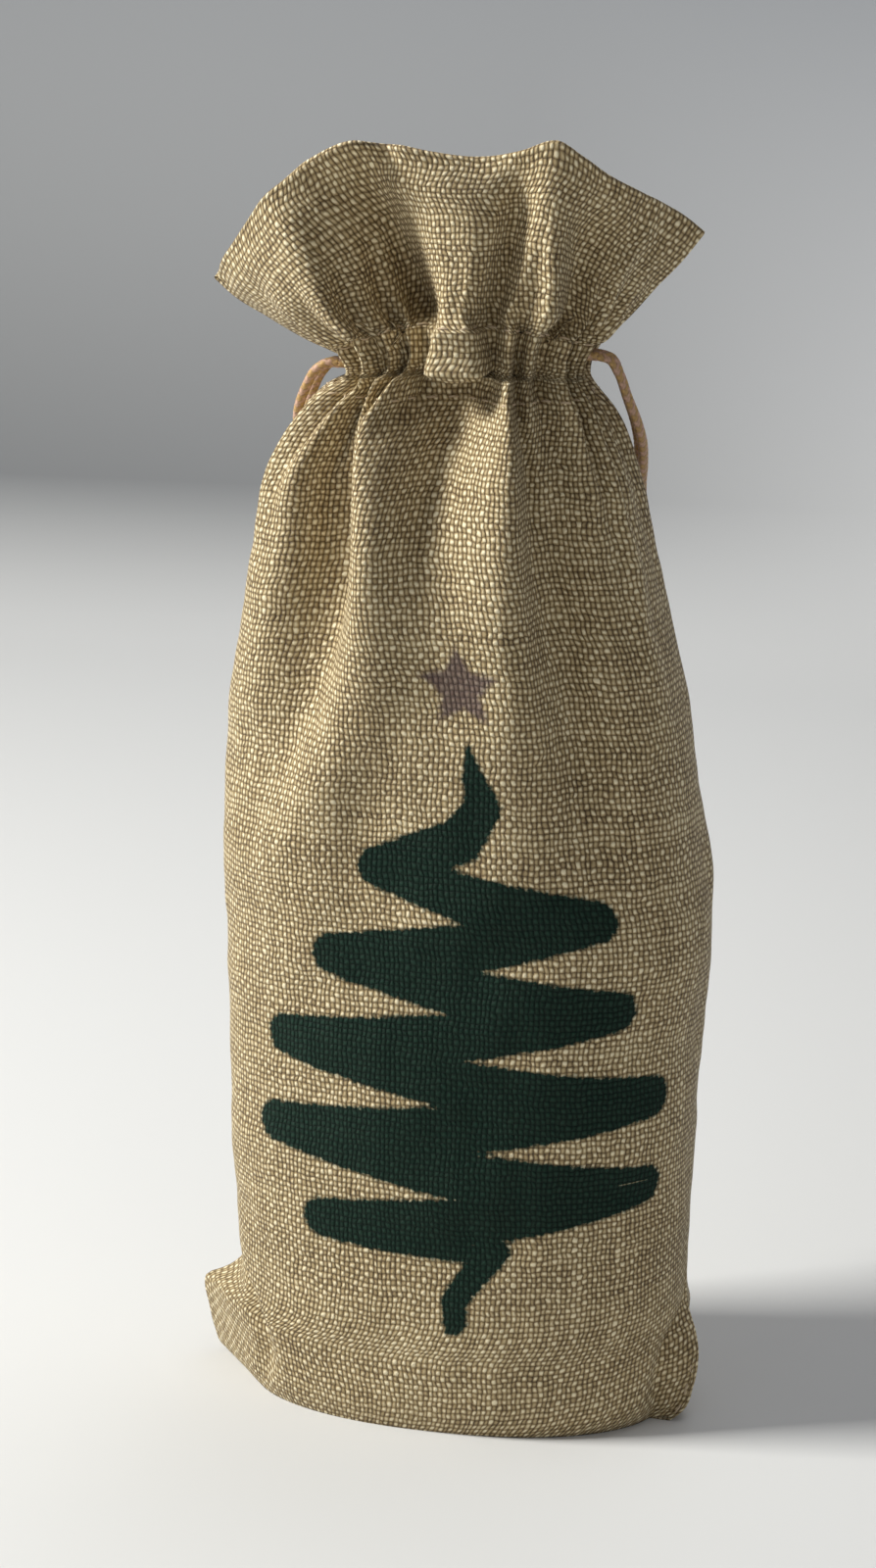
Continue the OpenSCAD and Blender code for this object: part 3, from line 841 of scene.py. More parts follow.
def burlap(name, painted=False):
    """Plain weave of slubby jute-like yarn, from the cloth's flat coordinates."""
    n = Nodes(name)
    uv, u, v = n.split_uv("cloth")
    wobble_u, wobble_v = n.noise(uv, 170, 3, 0.6), n.noise(n.vector(v, u, 3.1), 150, 3, 0.6)
    a = n.math("DIVIDE", n.swayed(u, wobble_u, 0.5, YARN_WOBBLE), WARP_PITCH)
    b = n.math("DIVIDE", n.swayed(v, wobble_v, 0.5, YARN_WOBBLE), WEFT_PITCH)
    column, row = n.math("FLOOR", a), n.math("FLOOR", b)
    across, along = n.math("FRACT", a), n.math("FRACT", b)

    def crown(position, width):
        """A round yarn section: 1 on its middle, 0 at its edges."""
        from_middle = n.math("ABSOLUTE", n.math("SUBTRACT", position, 0.5))
        scaled = n.math("DIVIDE", from_middle, width)
        return n.math("SQRT", n.math("SUBTRACT", 1.0, n.math("POWER", scaled, 2.0), clamp=True))

    def swing(position, other):
        """Up and down of a yarn over and under the ones it crosses, from -1 to 1."""
        phase = n.math("ADD", n.math("SUBTRACT", position, 0.5), other)
        return n.math("COSINE", n.math("MULTIPLY", phase, math.pi))

    warp_slub = n.noise(n.stretched(column, 7.31, v, 90.0), 1.0, 2)
    weft_slub = n.noise(n.stretched(u, 90.0, row, 5.17, 9.0), 1.0, 2)
    warp_width = n.math("MULTIPLY_ADD", warp_slub, 0.50, 0.30)
    weft_width = n.math("MULTIPLY_ADD", weft_slub, 0.60, 0.30)
    warp_up = n.math("MULTIPLY", swing(b, column), 0.52)
    weft_up = n.math("MULTIPLY", swing(a, row), -0.44)
    warp_crown, weft_crown = crown(across, warp_width), crown(along, weft_width)
    warp_height = n.math("MULTIPLY", n.math("ADD", warp_up, 0.52), warp_crown)
    weft_height = n.math("MULTIPLY", n.math("ADD", weft_up, 0.36), weft_crown)
    height = n.math("MAXIMUM", warp_height, weft_height)
    warp_on_top = n.math("GREATER_THAN", warp_height, weft_height)

    fibre = n.noise(n.stretched(u, 9000.0, v, 1500.0), 1.0, 2)
    fibre_cross = n.noise(n.stretched(u, 1500.0, v, 9000.0, 5.0), 1.0, 2)
    streak = n.mix(warp_on_top, fibre_cross, fibre)
    warp_tone = n.math("ADD", n.white_noise(n.vector(column, 3.0)), n.math("MULTIPLY", warp_slub, 1.4))
    weft_tone = n.math("ADD", n.white_noise(n.vector(7.0, row)), n.math("MULTIPLY", weft_slub, 1.4))
    yarn = n.mix(warp_on_top, weft_tone, warp_tone)
    one_crown = n.white_noise(n.vector(column, row, 5.0))
    patch = n.noise(uv, 28, 3)
    # Painted shade and light: the tone follows the yarns' height, so the ramp below darkens the colour to
    # near black where the yarns dip into the gaps between them and pales it on their crowns. The streaks and
    # the per-yarn, per-crown and patch noise are the cloth's own uneven tone.
    tone = n.math("MULTIPLY_ADD", streak, 0.14, n.math("MULTIPLY", height, 0.92))
    for noise, middle, weight in ((yarn, 1.2, 0.13), (one_crown, 0.5, 0.09), (patch, 0.5, 0.14)):
        tone = n.swayed(tone, noise, middle, weight)
    colour = n.ramp(tone, [
        (0.00, (0.012, 0.006, 0.002)),
        (0.26, (0.060, 0.034, 0.012)),
        (0.50, (0.215, 0.145, 0.062)),
        (0.75, (0.480, 0.368, 0.190)),
        (0.98, (0.900, 0.790, 0.540)),
    ])
    specular, sheen = 0.36, 0.06
    if painted:
        colour, paint = add_paint(n, colour, height, streak, u, v)
        specular = n.math("MULTIPLY_ADD", paint, -0.26, specular)
        sheen = n.math("MULTIPLY_ADD", paint, -0.05, sheen)
    n.bump(n.math("MULTIPLY_ADD", streak, 0.10, height), 0.9, 0.60 * MM)
    return n.surface(
        colour, Roughness=0.62, Specular_IOR_Level=specular, Sheen_Weight=sheen, Sheen_Roughness=0.5,
    )


def add_paint(n, colour, height, streak, u, v):
    """The painted tree and star: dark colour soaked into the yarns, broken where the brush ran dry."""
    grain = n.noise(n.stretched(u, 700.0, v, 700.0), 1.0, 3)
    dry = n.noise(n.stretched(u, 60.0, v, 900.0, 2.0), 1.0, 3)
    dry_patch = n.noise(n.stretched(u, 30.0, v, 45.0, 7.0), 1.0, 2)
    edge = n.swayed(n.attribute("tree_distance"), grain, 0.5, 2.4 * MM)
    tree = n.math("SUBTRACT", 0.5, n.math("DIVIDE", edge, 1.0 * MM), clamp=True)
    gaps = n.math("GREATER_THAN", n.math("ADD", dry, n.math("MULTIPLY", dry_patch, 0.9)), 1.28)
    tree = n.math("MULTIPLY", tree, n.math("MULTIPLY_ADD", gaps, -0.35, 1.0))
    # Painted shade and light in the green as well: it follows the yarns' height, darker in the gaps between
    # them and lighter on their crowns.
    green = n.ramp(n.math("MULTIPLY_ADD", streak, 0.4, n.math("MULTIPLY", height, 0.6)), [
        (0.0, (0.001, 0.003, 0.002)), (0.5, (0.002, 0.014, 0.010)), (1.0, (0.005, 0.044, 0.030)),
    ])
    colour = n.mix(n.math("MULTIPLY", tree, 0.985), colour, green)
    star_edge = n.swayed(n.attribute("star_distance"), grain, 0.5, 2.6 * MM)
    star = n.math("SUBTRACT", 0.5, n.math("DIVIDE", star_edge, 1.6 * MM), clamp=True)
    # Painted shade and light in the star's plum as well: darker in the yarns' gaps, lighter on their crowns.
    plum = n.ramp(
        n.math("MULTIPLY", height, 0.9), [(0.0, (0.022, 0.012, 0.012)), (1.0, (0.125, 0.070, 0.072))],
    )
    return n.mix(n.math("MULTIPLY", star, 0.84), colour, plum), tree


def braided(name):
    """Braided cord of pinkish beige and gold yarns; UV runs round the cord and along it, in metres."""
    n = Nodes(name)
    _, round_it, along = n.split_uv("cord")
    strand = n.attribute("strand_tone")
    crown = n.attribute("strand_crown")
    fibre = n.noise(n.stretched(round_it, 40.0, along, 2600.0), 1.0, 2)
    base = n.mix(strand, (0.70, 0.44, 0.31), (0.60, 0.38, 0.14))
    # Painted shade: the colour falls to deep brown where a strand dips under its neighbours, so the braid's
    # crevices look shaded; the fibre noise streaks it.
    shade = n.math("MULTIPLY_ADD", fibre, 0.30, n.math("MULTIPLY_ADD", crown, 0.95, -0.10), clamp=True)
    colour = n.mix(shade, (0.13, 0.065, 0.035), base)
    n.bump(fibre, 0.4, 0.15 * MM)
    return n.surface(colour, Roughness=0.55, Specular_IOR_Level=0.4, Sheen_Weight=0.15)


def spun_thread(name):
    n = Nodes(name)
    place = n.node("ShaderNodeTexCoord").outputs["Object"]
    fibre = n.noise(place, 3000, 2)
    colour = n.mix(fibre, (0.34, 0.24, 0.14), (0.72, 0.58, 0.40))
    return n.surface(colour, Roughness=0.6)


def pale_sheet(name):
    """Plain pale backdrop cloth with painted shade: darker and cooler high up and to the right, and darker
    at the lower left, above the floor.
    """
    n = Nodes(name)
    split = n.node("ShaderNodeSeparateXYZ")
    n.link(n.node("ShaderNodeTexCoord").outputs["Object"], split.inputs[0])
    x, z = split.outputs["X"], split.outputs["Z"]
    rise = n.math("DIVIDE", n.math("MULTIPLY_ADD", x, 0.10, z), 0.42, clamp=True)
    # Painted shade: the colour falls from pale grey to dark cool grey with height and towards the right,
    # standing in for less light there.
    colour = n.ramp(rise, [
        (0.0, (0.70, 0.70, 0.69)), (0.22, (0.60, 0.605, 0.61)), (1.0, (0.24, 0.255, 0.28)),
    ])
    # Painted shade: a dark grey mixed in at the lower left of the backdrop, above the floor, to darken it
    # where the key light falls strongest.
    to_left = n.math("DIVIDE", n.math("SUBTRACT", 0.05, x), 0.30, clamp=True)
    up = n.math("DIVIDE", z, 0.05, clamp=True)
    painted_low_left_shade = n.math("MULTIPLY", n.math("MULTIPLY", to_left, up), n.math("SUBTRACT", 1.0, rise))
    colour = n.mix(painted_low_left_shade, colour, (0.24, 0.245, 0.25))
    return n.surface(colour, Roughness=0.85)


BURLAP = burlap("burlap")
PAINTED_BURLAP = burlap("painted_burlap", painted=True)
CORD = braided("cord")
THREAD = spun_thread("thread")


# ---------------------------------------------------------------- painted tree and star

# The painted tree and star on the front panel, in the cloth's u and v, in mm.
TREE_MIDDLE = 86.0
TREE_TOP = 212.0
FIRST_SWING = 181.0
SWING_STEP = 11.3
SWING_REACH = [21, 28, 34, 33, 47, 44, 50, 43, 37]   # how far each swing goes, left and right in turn
STAR_CENTRE = (85.5, 225.5)
STAR_RADIUS = 10.0


def tree_stroke():
    """A plain evergreen drawn in one zigzag, each swing wider than the last, and a short hooked trunk."""
    route = [(TREE_MIDDLE, TREE_TOP, 0.6), (TREE_MIDDLE + 1.4, TREE_TOP - 7, 2.6)]
    route += [(TREE_MIDDLE + 4.0, TREE_TOP - 15, 4.4), (TREE_MIDDLE - 1.5, TREE_TOP - 23, 5.6)]
    for k, reach in enumerate(SWING_REACH):
        sign = -1 if k % 2 == 0 else 1
        here = (TREE_MIDDLE + sign * reach, FIRST_SWING - SWING_STEP * k)
        if k:
            before = route[-1]
            route.append(((before[0] + here[0]) / 2, (before[1] + here[1]) / 2 - 1.6, 6.4))
        route.append((*here, 5.3))
    foot = route[-1][1]
    route += [(TREE_MIDDLE - 2, foot - 2.6, 4.6), (TREE_MIDDLE + 6.5, foot - 4.0, 3.8)]
    route += [(TREE_MIDDLE + 1.4, foot - 10, 3.6), (TREE_MIDDLE - 3.4, foot - 17, 3.3)]
    route += [(TREE_MIDDLE - 3.0, foot - 23, 3.0)]
    return np.array(route)


def stroke_distance(u, v, route):
    """Signed distance, in mm, from a brush route of changing half width."""
    best = np.full(u.shape, 1e9)
    for (au, av, aw), (bu, bv, bw) in zip(route[:-1], route[1:]):
        du, dv = bu - au, bv - av
        share = np.clip(((u - au) * du + (v - av) * dv) / (du * du + dv * dv), 0, 1)
        near = np.hypot(u - au - share * du, v - av - share * dv) - (aw + share * (bw - aw))
        best = np.minimum(best, near)
    return best


def star_distance(u, v):
    """Signed distance, in mm, from a regular five-pointed star."""
    corner_count = 10
    corners = []
    for k in range(corner_count):
        radius = STAR_RADIUS if k % 2 == 0 else STAR_RADIUS * 0.50
        angle = math.pi / 2 + k * math.tau / corner_count
        across, up = radius * math.cos(angle), radius * math.sin(angle)
        corners.append((STAR_CENTRE[0] + across, STAR_CENTRE[1] + up))
    best = np.full(u.shape, 1e9)
    inside = np.zeros(u.shape, bool)
    for (au, av), (bu, bv) in zip(corners, corners[1:] + corners[:1]):
        du, dv = bu - au, bv - av
        share = np.clip(((u - au) * du + (v - av) * dv) / (du * du + dv * dv), 0, 1)
        best = np.minimum(best, np.hypot(u - au - share * du, v - av - share * dv))
        crosses = (av > v) != (bv > v)
        at_u = au + (v - av) * du / (dv if dv else 1e-9)
        inside ^= crosses & (u < at_u)
    return np.where(inside, -best, best)


# ---------------------------------------------------------------- cords

LEFT_FRONT_ROUTE = [
    (-31, -1.6, 256.2), (-33.8, -1.6, 256.1), (-36.8, -1.4, 254.4), (-39.6, -0.4, 250.2),
    (-42.4, 2.4, 244.4), (-43.8, 7, 237.6), (-44.4, 13, 230), (-43.8, 19.4, 221), (-42.6, 25.4, 210),
    (-42, 29.6, 197.6), (-41.2, 31.8, 184), (-40.6, 32.9, 166), (-40.3, 33.1, 150.3),
]
LEFT_BACK_ROUTE = [
    (-31, 1.6, 256.2), (-33.8, 2.1, 255.9), (-36.6, 3.8, 253.6), (-39.6, 6.8, 249.4), (-42.4, 11, 243.4),
    (-43.6, 16.2, 236.8), (-43.6, 22, 229.2), (-42.2, 27.2, 219.8), (-40.4, 30.8, 209),
    (-38.8, 32.4, 196.6), (-38, 34, 183), (-37.7, 35.1, 166), (-37.7, 35.5, 150.3),
]
RIGHT_FRONT_ROUTE = [
    (31, -1.6, 259.8), (33.6, -1.5, 259.1), (35.8, -0.9, 255.8), (37.4, 0.7, 250.6), (39.2, 3.6, 244.6),
    (39.8, 8.4, 238.8), (39.0, 14.4, 232.6), (37.6, 20.6, 226.4), (37.0, 25.4, 219), (37.4, 28.8, 209.8),
    (38.8, 31, 198), (39.8, 32.2, 184), (40.2, 33, 166), (40.3, 33.1, 150.3),
]
RIGHT_BACK_ROUTE = [
    (31, 1.6, 259.8), (33.4, 1.9, 258.9), (35.2, 3.1, 255), (36.6, 5.3, 249.6), (37.8, 8.8, 243.8),
    (38, 13.4, 238.2), (36.8, 18.8, 232.4), (35.2, 23.8, 226.6), (34.2, 28, 219), (34.8, 31.2, 209.6),
    (36.2, 33.4, 197.6), (37.2, 34.6, 184), (37.6, 35.3, 166), (37.7, 35.5, 150.3),
]
KNOT_Y = 34.3


def smooth_route(points, spacing):
    """A smooth, evenly spaced line through given points, in metres."""
    points = np.array(points, float)
    along = arc_length(points)
    fine = through(np.concatenate([along[:, None], points], axis=1), np.linspace(0, along[-1], 600))
    total = arc_length(fine)[-1]
    return even_points(fine, max(int(total / spacing), 8))


def carried_frames(line):
    """Two directions square to the line at each point, without twist."""
    tangent = np.gradient(line, axis=0)
    tangent /= np.linalg.norm(tangent, axis=1)[:, None]
    seed = np.array([0.0, 0.0, 1.0]) if abs(tangent[0, 2]) < 0.8 else np.array([0.0, 1.0, 0.0])
    first = np.zeros_like(line)
    current = seed
    for i, t in enumerate(tangent):
        current = current - t * np.dot(current, t)
        current /= np.linalg.norm(current)
        first[i] = current
    return tangent, first, np.cross(tangent, first)


STRANDS_EACH_WAY = 4
BRAID_LAY = 7.0 * MM            # one full turn of a braid strand along the cord


def cord_mesh(name, line, sides=28, start_along=0.0):
    """A braided tube round a line: strands wind both ways and pass over and under each other."""
    tangent, first, second = carried_frames(line)
    along = arc_length(line) + start_along
    angle = np.linspace(0, math.tau, sides + 1)
    ring_angle, ring_along = np.meshgrid(angle, along)
    turn = ring_along / BRAID_LAY * math.tau
    right_phase = (ring_angle + turn) * STRANDS_EACH_WAY / math.tau
    left_phase = (ring_angle - turn) * STRANDS_EACH_WAY / math.tau
    right_round = np.sqrt(np.clip(1 - (2 * (right_phase % 1) - 1) ** 2, 0, 1))
    left_round = np.sqrt(np.clip(1 - (2 * (left_phase % 1) - 1) ** 2, 0, 1))
    right_over = np.cos(math.pi * (left_phase + np.floor(right_phase)))
    left_over = -right_over
    right_height = right_round * (0.62 + 0.38 * right_over)
    left_height = left_round * (0.62 + 0.38 * left_over)
    height = np.maximum(right_height, left_height)
    tone = np.where(right_height > left_height, np.floor(right_phase) % 2, 1 - np.floor(left_phase) % 2)
    radius = CORD_D / 2 * (0.78 + 0.22 * height)
    points = (
        line[:, None, :]
        + first[:, None, :] * (np.cos(ring_angle) * radius)[..., None]
        + second[:, None, :] * (np.sin(ring_angle) * radius)[..., None]
    )
    count = len(line)
    vertex_list = points[:, :-1].reshape(-1, 3).tolist()
    tone_list = tone[:, :-1].reshape(-1).tolist()
    crown_list = height[:, :-1].reshape(-1).tolist()
    faces = tube_faces(count, sides)
    for i, sign in ((0, -1), (count - 1, 1)):
        hub = len(vertex_list)
        vertex_list.append((line[i] + tangent[i] * sign * CORD_D * 0.12).tolist())
        tone_list.append(0.5)
        crown_list.append(0.3)
        for j in range(sides):
            pair = (i * sides + j, i * sides + (j + 1) % sides)
            faces.append((hub, *(pair[::-1] if sign < 0 else pair)))
    mesh = bpy.data.meshes.new(name)
    mesh.from_pydata(vertex_list, [], faces)
    around = np.concatenate([ring_angle[:, :-1].reshape(-1) / math.tau, np.zeros(2)])
    lengthwise = np.concatenate([ring_along[:, :-1].reshape(-1), np.zeros(2)])
    set_uv(mesh, "cord", np.stack([around, lengthwise], axis=1))
    set_values(mesh, "strand_tone", tone_list)
    set_values(mesh, "strand_crown", crown_list)
    return smooth_object(name, mesh, CORD)


def joined(objects, name):
    """Several mesh objects as one."""
    for o in bpy.context.view_layer.objects:
        o.select_set(False)
    for o in objects:
        o.select_set(True)
    bpy.context.view_layer.objects.active = objects[0]
    bpy.ops.object.join()
    made = objects[0]
    made.name = name
    made.data.name = name
    return made


# ---- free strands and their knots

STRAND_SPACING = 0.30 * MM
ROUTES = {
    "left": (LEFT_FRONT_ROUTE, LEFT_BACK_ROUTE),
    "right": (RIGHT_FRONT_ROUTE, RIGHT_BACK_ROUTE),
}


def overhand_knot(hand, centre_x):
    """A tight overhand knot tied in both strands together, with two short ends below it."""
    sign = -1 if hand == "left" else 1
    parts = []
    for k, offset in enumerate((-1, 1)):
        shift = offset * 1.05
        start_x = sign * (40.3 if k == 0 else 37.7)
        start_y = 33.1 if k == 0 else 35.5
        loop = [
            (start_x, start_y, 150.3),
            (centre_x + sign * 0.6 * offset, KNOT_Y + 0.5 * offset, 148.6),
            (centre_x - 2.3, KNOT_Y - 2.4 + shift * 0.4, 147.2 + shift * 0.6),
            (centre_x + 1.6, KNOT_Y - 2.8 + shift * 0.3, 145.4 + shift * 0.9),
            (centre_x + 3.3, KNOT_Y - 0.2 + shift * 0.2, 144.4 + shift * 0.9),
            (centre_x + 0.8, KNOT_Y + 3.0 + shift * 0.2, 145.2 + shift * 0.8),
            (centre_x - 3.1, KNOT_Y + 1.6 + shift * 0.2, 145.4 + shift * 0.9),
            (centre_x - 2.9, KNOT_Y - 1.6 + shift * 0.2, 143.0 + shift * 0.7),
            (centre_x + 0.4, KNOT_Y - 1.4 + shift * 0.5, 141.8),
            (centre_x + 0.9 * offset, KNOT_Y + 0.4, 139.6),
            (centre_x + 1.5 * offset, KNOT_Y + 0.6 + 0.4 * offset, 134.6),
            (centre_x + 2.0 * offset, KNOT_Y - 0.2 + 0.9 * offset, 127.2 + 0.8 * offset),
        ]
        line = smooth_route(np.array(loop) * MM, STRAND_SPACING)
        parts.append(cord_mesh(f"{hand}_knot_{k}", line, start_along=0.13))
    return joined(parts, f"{hand}_knot_piece")


def make_tail(hand):
    knot = overhand_knot(hand, -39.0 if hand == "left" else 39.0)
    tail, end = f"{hand}_tail", f"{hand}_tail_end"
    for which, route in zip(("front", "back"), ROUTES[hand]):
        line = smooth_route(np.array(route) * MM, STRAND_SPACING)
        strand = cord_mesh(f"{hand}_{which}_strand_piece", line)
        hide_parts(f"{hand}_{which}_strand")
        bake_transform(strand)
    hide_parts(f"{hand}_knot")
    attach(knot, end)


for hand in ("left", "right"):
    make_tail(hand)


# ---- the cords inside the casing

def casing_cord(hand):
    """One cord round inside the casing, as a front and a back half."""
    sign = -1 if hand == "left" else 1
    height = 256.2 if hand == "left" else 259.8
    bend = [(-31, 1.6), (-28.0, 2.2), (-24.6, 4.4), (-22.0, 6.6)]
    arc = [(21.2 * math.cos(a), -11.4 * math.sin(a)) for a in np.radians(np.linspace(217, 503, 15))]
    ring = [(x, -y) for x, y in bend] + arc[1:-1] + bend[::-1]
    ring = [(-x * sign, y, height) for x, y in ring]
    line = smooth_route(np.array(ring) * MM, 0.5 * MM)
    halves = []
    crossing = len(line) // 2
    for which, part in (("front", line[: crossing + 1]), ("back", line[crossing:])):
        piece = cord_mesh(f"{hand}_casing_cord_{which}", part, sides=20)
        halves.append(piece)
    return halves


def half_blend(obj):
    """Cloth or cord of one side of the neck: its transform is baked into its mesh."""
    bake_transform(obj)


for hand in ("left", "right"):
    halves = casing_cord(hand)
    front_first = sum(v.co.y for v in halves[0].data.vertices) < 0
    for piece, side in zip(halves, (FRONT, BACK) if front_first else (BACK, FRONT)):
        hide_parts(f"{hand}_cord_in_casing")
        half_blend(piece)


# ---------------------------------------------------------------- the cloth

CORNER_LIFT = 12 * MM           # how far the level yarns rise at the side seams, low down
LIFT_FADE = (40 * MM, 110 * MM) # between these lengths of cloth that rise fades out
BACK_YARNS = 1.0                # added to u on the back, so that its yarns aren't the front's
HEM_SLACK = 2.4 * MM            # how much further in the hem ply lies at the foot of the ruffle
HEM_SQUEEZE = 0.80              # how much narrower it is inside the casing


def cloth_coordinates(grid, side, cloth_v):
    """The flat coordinates of every point of a grid."""
    u = np.tile(np.linspace(0, CLOTH_WIDTH, COLUMNS), (len(grid), 1))
    share = np.linspace(-1, 1, COLUMNS)
    v = np.tile(cloth_v[:, None], (1, COLUMNS))
    lift = CORNER_LIFT * np.abs(share) ** 2.4
    fade = 1 - ease((cloth_v - LIFT_FADE[0]) / (LIFT_FADE[1] - LIFT_FADE[0]))
    v = v - lift[None, :] * fade[:, None]
    if side == BACK:
        u = u + BACK_YARNS
    return u, v


def hem_grid(grid, normals, ruffle_rows, casing_rows):
    """The hem ply: over the rim in a round fold, then down inside the ruffle and the casing."""
    rows = []
    rim, rim_normal = grid[-1], normals[-1]
    up = grid[-1] - grid[-3]
    up /= np.linalg.norm(up, axis=1)[:, None]
    for k in range(1, 6):
        angle = math.pi * k / 6
        inward = rim_normal * PLY_GAP / 2 * (1 - math.cos(angle))
        rows.append(rim - inward + up * PLY_GAP / 2 * math.sin(angle))
    for k, i in enumerate(ruffle_rows[::-1]):
        share = k / (len(ruffle_rows) - 1)
        gap = PLY_GAP + HEM_SLACK * ease((share - 0.55) / 0.45)
        even_row = soften(grid[i], 10)
        even_normal = soften(normals[i], 24)
        even_normal /= np.linalg.norm(even_normal, axis=1)[:, None]
        mix = ease(k / 4)
        outer = (1 - mix) * grid[i] + mix * even_row
        normal = (1 - mix) * normals[i] + mix * even_normal
        rows.append(outer - normal * gap)
    for i in casing_rows[::-1]:
        inward = grid[i].copy()
        inward[:, :2] *= HEM_SQUEEZE
        rows.append(inward)
    return np.array(rows)


GRIDS = {}


def dress(piece, node, material=BURLAP):
    """Gives a piece of cloth its normals and material, and hides the node it stands for."""
    finish_normals(piece)
    piece.data.materials.append(material)
    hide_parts(node)


def make_cloth(side):
    name = SIDE_NAME[side]
    grid, groups, cloth_v = build_side(side)
    normals = grid_normals(grid, side)
    u, v = cloth_coordinates(grid, side, cloth_v)
    where = {g: [i for i, x in enumerate(groups) if x == g] for g in ("panel", "casing", "ruffle")}
    GRIDS[side] = (grid, normals, where)

    panel = where["panel"]
    motif = {}
    if side == FRONT:
        across, up = u[panel] / MM, v[panel] / MM
        motif["tree_distance"] = stroke_distance(across, up, tree_stroke()) * MM
        motif["star_distance"] = star_distance(across, up) * MM
    whole = grid_mesh(f"{name}_panel_cloth", grid[panel], normals[panel], u[panel], v[panel], side, motif)
    pieces = cut_off_edges(whole, side)
    for piece in pieces:
        dress(piece, f"{name}_panel", PAINTED_BURLAP if side == FRONT else BURLAP)
    middle, left_edge, right_edge = pieces
    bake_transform(middle)
    for piece in (left_edge, right_edge):
        half_blend(piece)

    for group in ("casing", "ruffle"):
        rows = where[group]
        piece = grid_mesh(f"{name}_{group}_cloth", grid[rows], normals[rows], u[rows], v[rows], side)
        dress(piece, f"{name}_{group}")
        half_blend(piece)

    inner = hem_grid(grid, normals, where["ruffle"], where["casing"])
    full = np.concatenate([grid[-2:], inner])
    inner_normals = grid_normals(full, side)
    inner_normals[1] = grid_normals(grid, side)[-1]
    steps = np.linalg.norm(np.diff(full, axis=0), axis=2).mean(axis=1)
    inner_v = v[-1][None, :] + np.concatenate([[0], np.cumsum(steps)])[:, None] - steps[0]
    inner_u = np.tile(u[-1], (len(full), 1))
    piece = grid_mesh(f"{name}_hem_cloth", full[1:], inner_normals[1:], inner_u[1:], inner_v[1:], side)
    dress(piece, f"{name}_hem_ply")
    half_blend(piece)


for side in (FRONT, BACK):
    make_cloth(side)


# ---------------------------------------------------------------- seams inside

SEAM_WIDTH = 8 * MM
PLIES_THICK = 1.6 * MM
STITCH_PITCH = 5.2 * MM


def strip(name, inner, outer, node):
    """A seam allowance: two plies standing inside the seam, drawn as a closed strip."""
    count = len(inner)
    normal = np.cross(outer - inner, np.gradient(inner, axis=0))
    normal /= np.linalg.norm(normal, axis=1)[:, None] + 1e-12
    half = normal * PLIES_THICK / 2
    verts = np.stack([inner + half, outer + half, outer - half, inner - half], axis=1).reshape(-1, 3)
    top = 4 * (count - 1)
    faces = tube_faces(count, 4) + [(3, 2, 1, 0), (top, top + 1, top + 2, top + 3)]
    mesh = bpy.data.meshes.new(name)
    mesh.from_pydata(verts.tolist(), [], faces)
    across = np.tile([0, SEAM_WIDTH, SEAM_WIDTH, 0], count)
    set_uv(mesh, "cloth", np.stack([across, np.repeat(arc_length(inner), 4)], axis=1))
    mesh.materials.append(BURLAP)
    obj = placed(name, mesh)
    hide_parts(node)
    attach(obj, "sack")


def stitches(name, places, node):
    """Short stitches, each a small arched capsule from one point to the next, lying on the cloth."""
    verts, faces = [], []
    sides, rings = 6, 5
    for start, end, out in places:
        start, end, out = np.array(start), np.array(end), np.array(out)
        run = end - start
        length = np.linalg.norm(run)
        if length < 1e-6:
            continue
        run = run / length
        out = out - run * np.dot(out, run)
        out /= np.linalg.norm(out) + 1e-12
        cross = np.cross(run, out)
        base = len(verts)
        for i in range(rings):
            t = i / (rings - 1)
            swell = math.sin(math.pi * (0.12 + 0.76 * t)) ** 0.5
            centre = start + run * length * t + out * (math.sin(math.pi * t) * 0.55 - 0.25) * THREAD_D
            for j in range(sides):
                angle = math.tau * j / sides
                spoke = (out * math.cos(angle) + cross * math.sin(angle)) * THREAD_D / 2 * swell
                verts.append((centre + spoke).tolist())
        faces += tube_faces(rings, sides, base)
        faces.append(tuple(base + j for j in range(sides))[::-1])
        faces.append(tuple(base + (rings - 1) * sides + j for j in range(sides)))
    mesh = bpy.data.meshes.new(name)
    mesh.from_pydata(verts, [], faces)
    obj = smooth_object(name, mesh, THREAD)
    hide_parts(node)
    return obj


def row_stitches(side, row, node):
    """A running stitch along one row of the cloth grid, dipping in and out."""
    grid, normals, _ = GRIDS[side]
    u = np.linspace(0, CLOTH_WIDTH, COLUMNS)
    places = []
    at = 3.0 * MM
    while at + STITCH_LENGTH < CLOTH_WIDTH - 2 * MM:
        a = [np.interp(at, u, grid[row][:, k]) for k in range(3)]
        b = [np.interp(at + STITCH_LENGTH, u, grid[row][:, k]) for k in range(3)]
        middle = at + STITCH_LENGTH / 2
        out = [np.interp(middle, u, normals[row][:, k]) for k in range(3)]
        lift = np.array(out) * 0.12 * MM
        places.append((np.array(a) + lift, np.array(b) + lift, out))
        at += STITCH_PITCH
    piece = stitches(f"{node}_piece", places, node)
    half_blend(piece)


for side in (FRONT, BACK):
    grid, normals, where = GRIDS[side]
    lower_row = where["casing"][2]
    upper_row = where["ruffle"][1]
    row_stitches(side, lower_row, f"{SIDE_NAME[side]}_lower_stitching")
    row_stitches(side, upper_row, f"{SIDE_NAME[side]}_upper_stitching")


def seam_edge(column):
    """The side seam's line, from the floor up to the casing."""
    grid, _, where = GRIDS[FRONT]
    rows = [i for i in where["panel"] if grid[i, column, 2] > 1.4 * MM]
    return grid[rows, column]


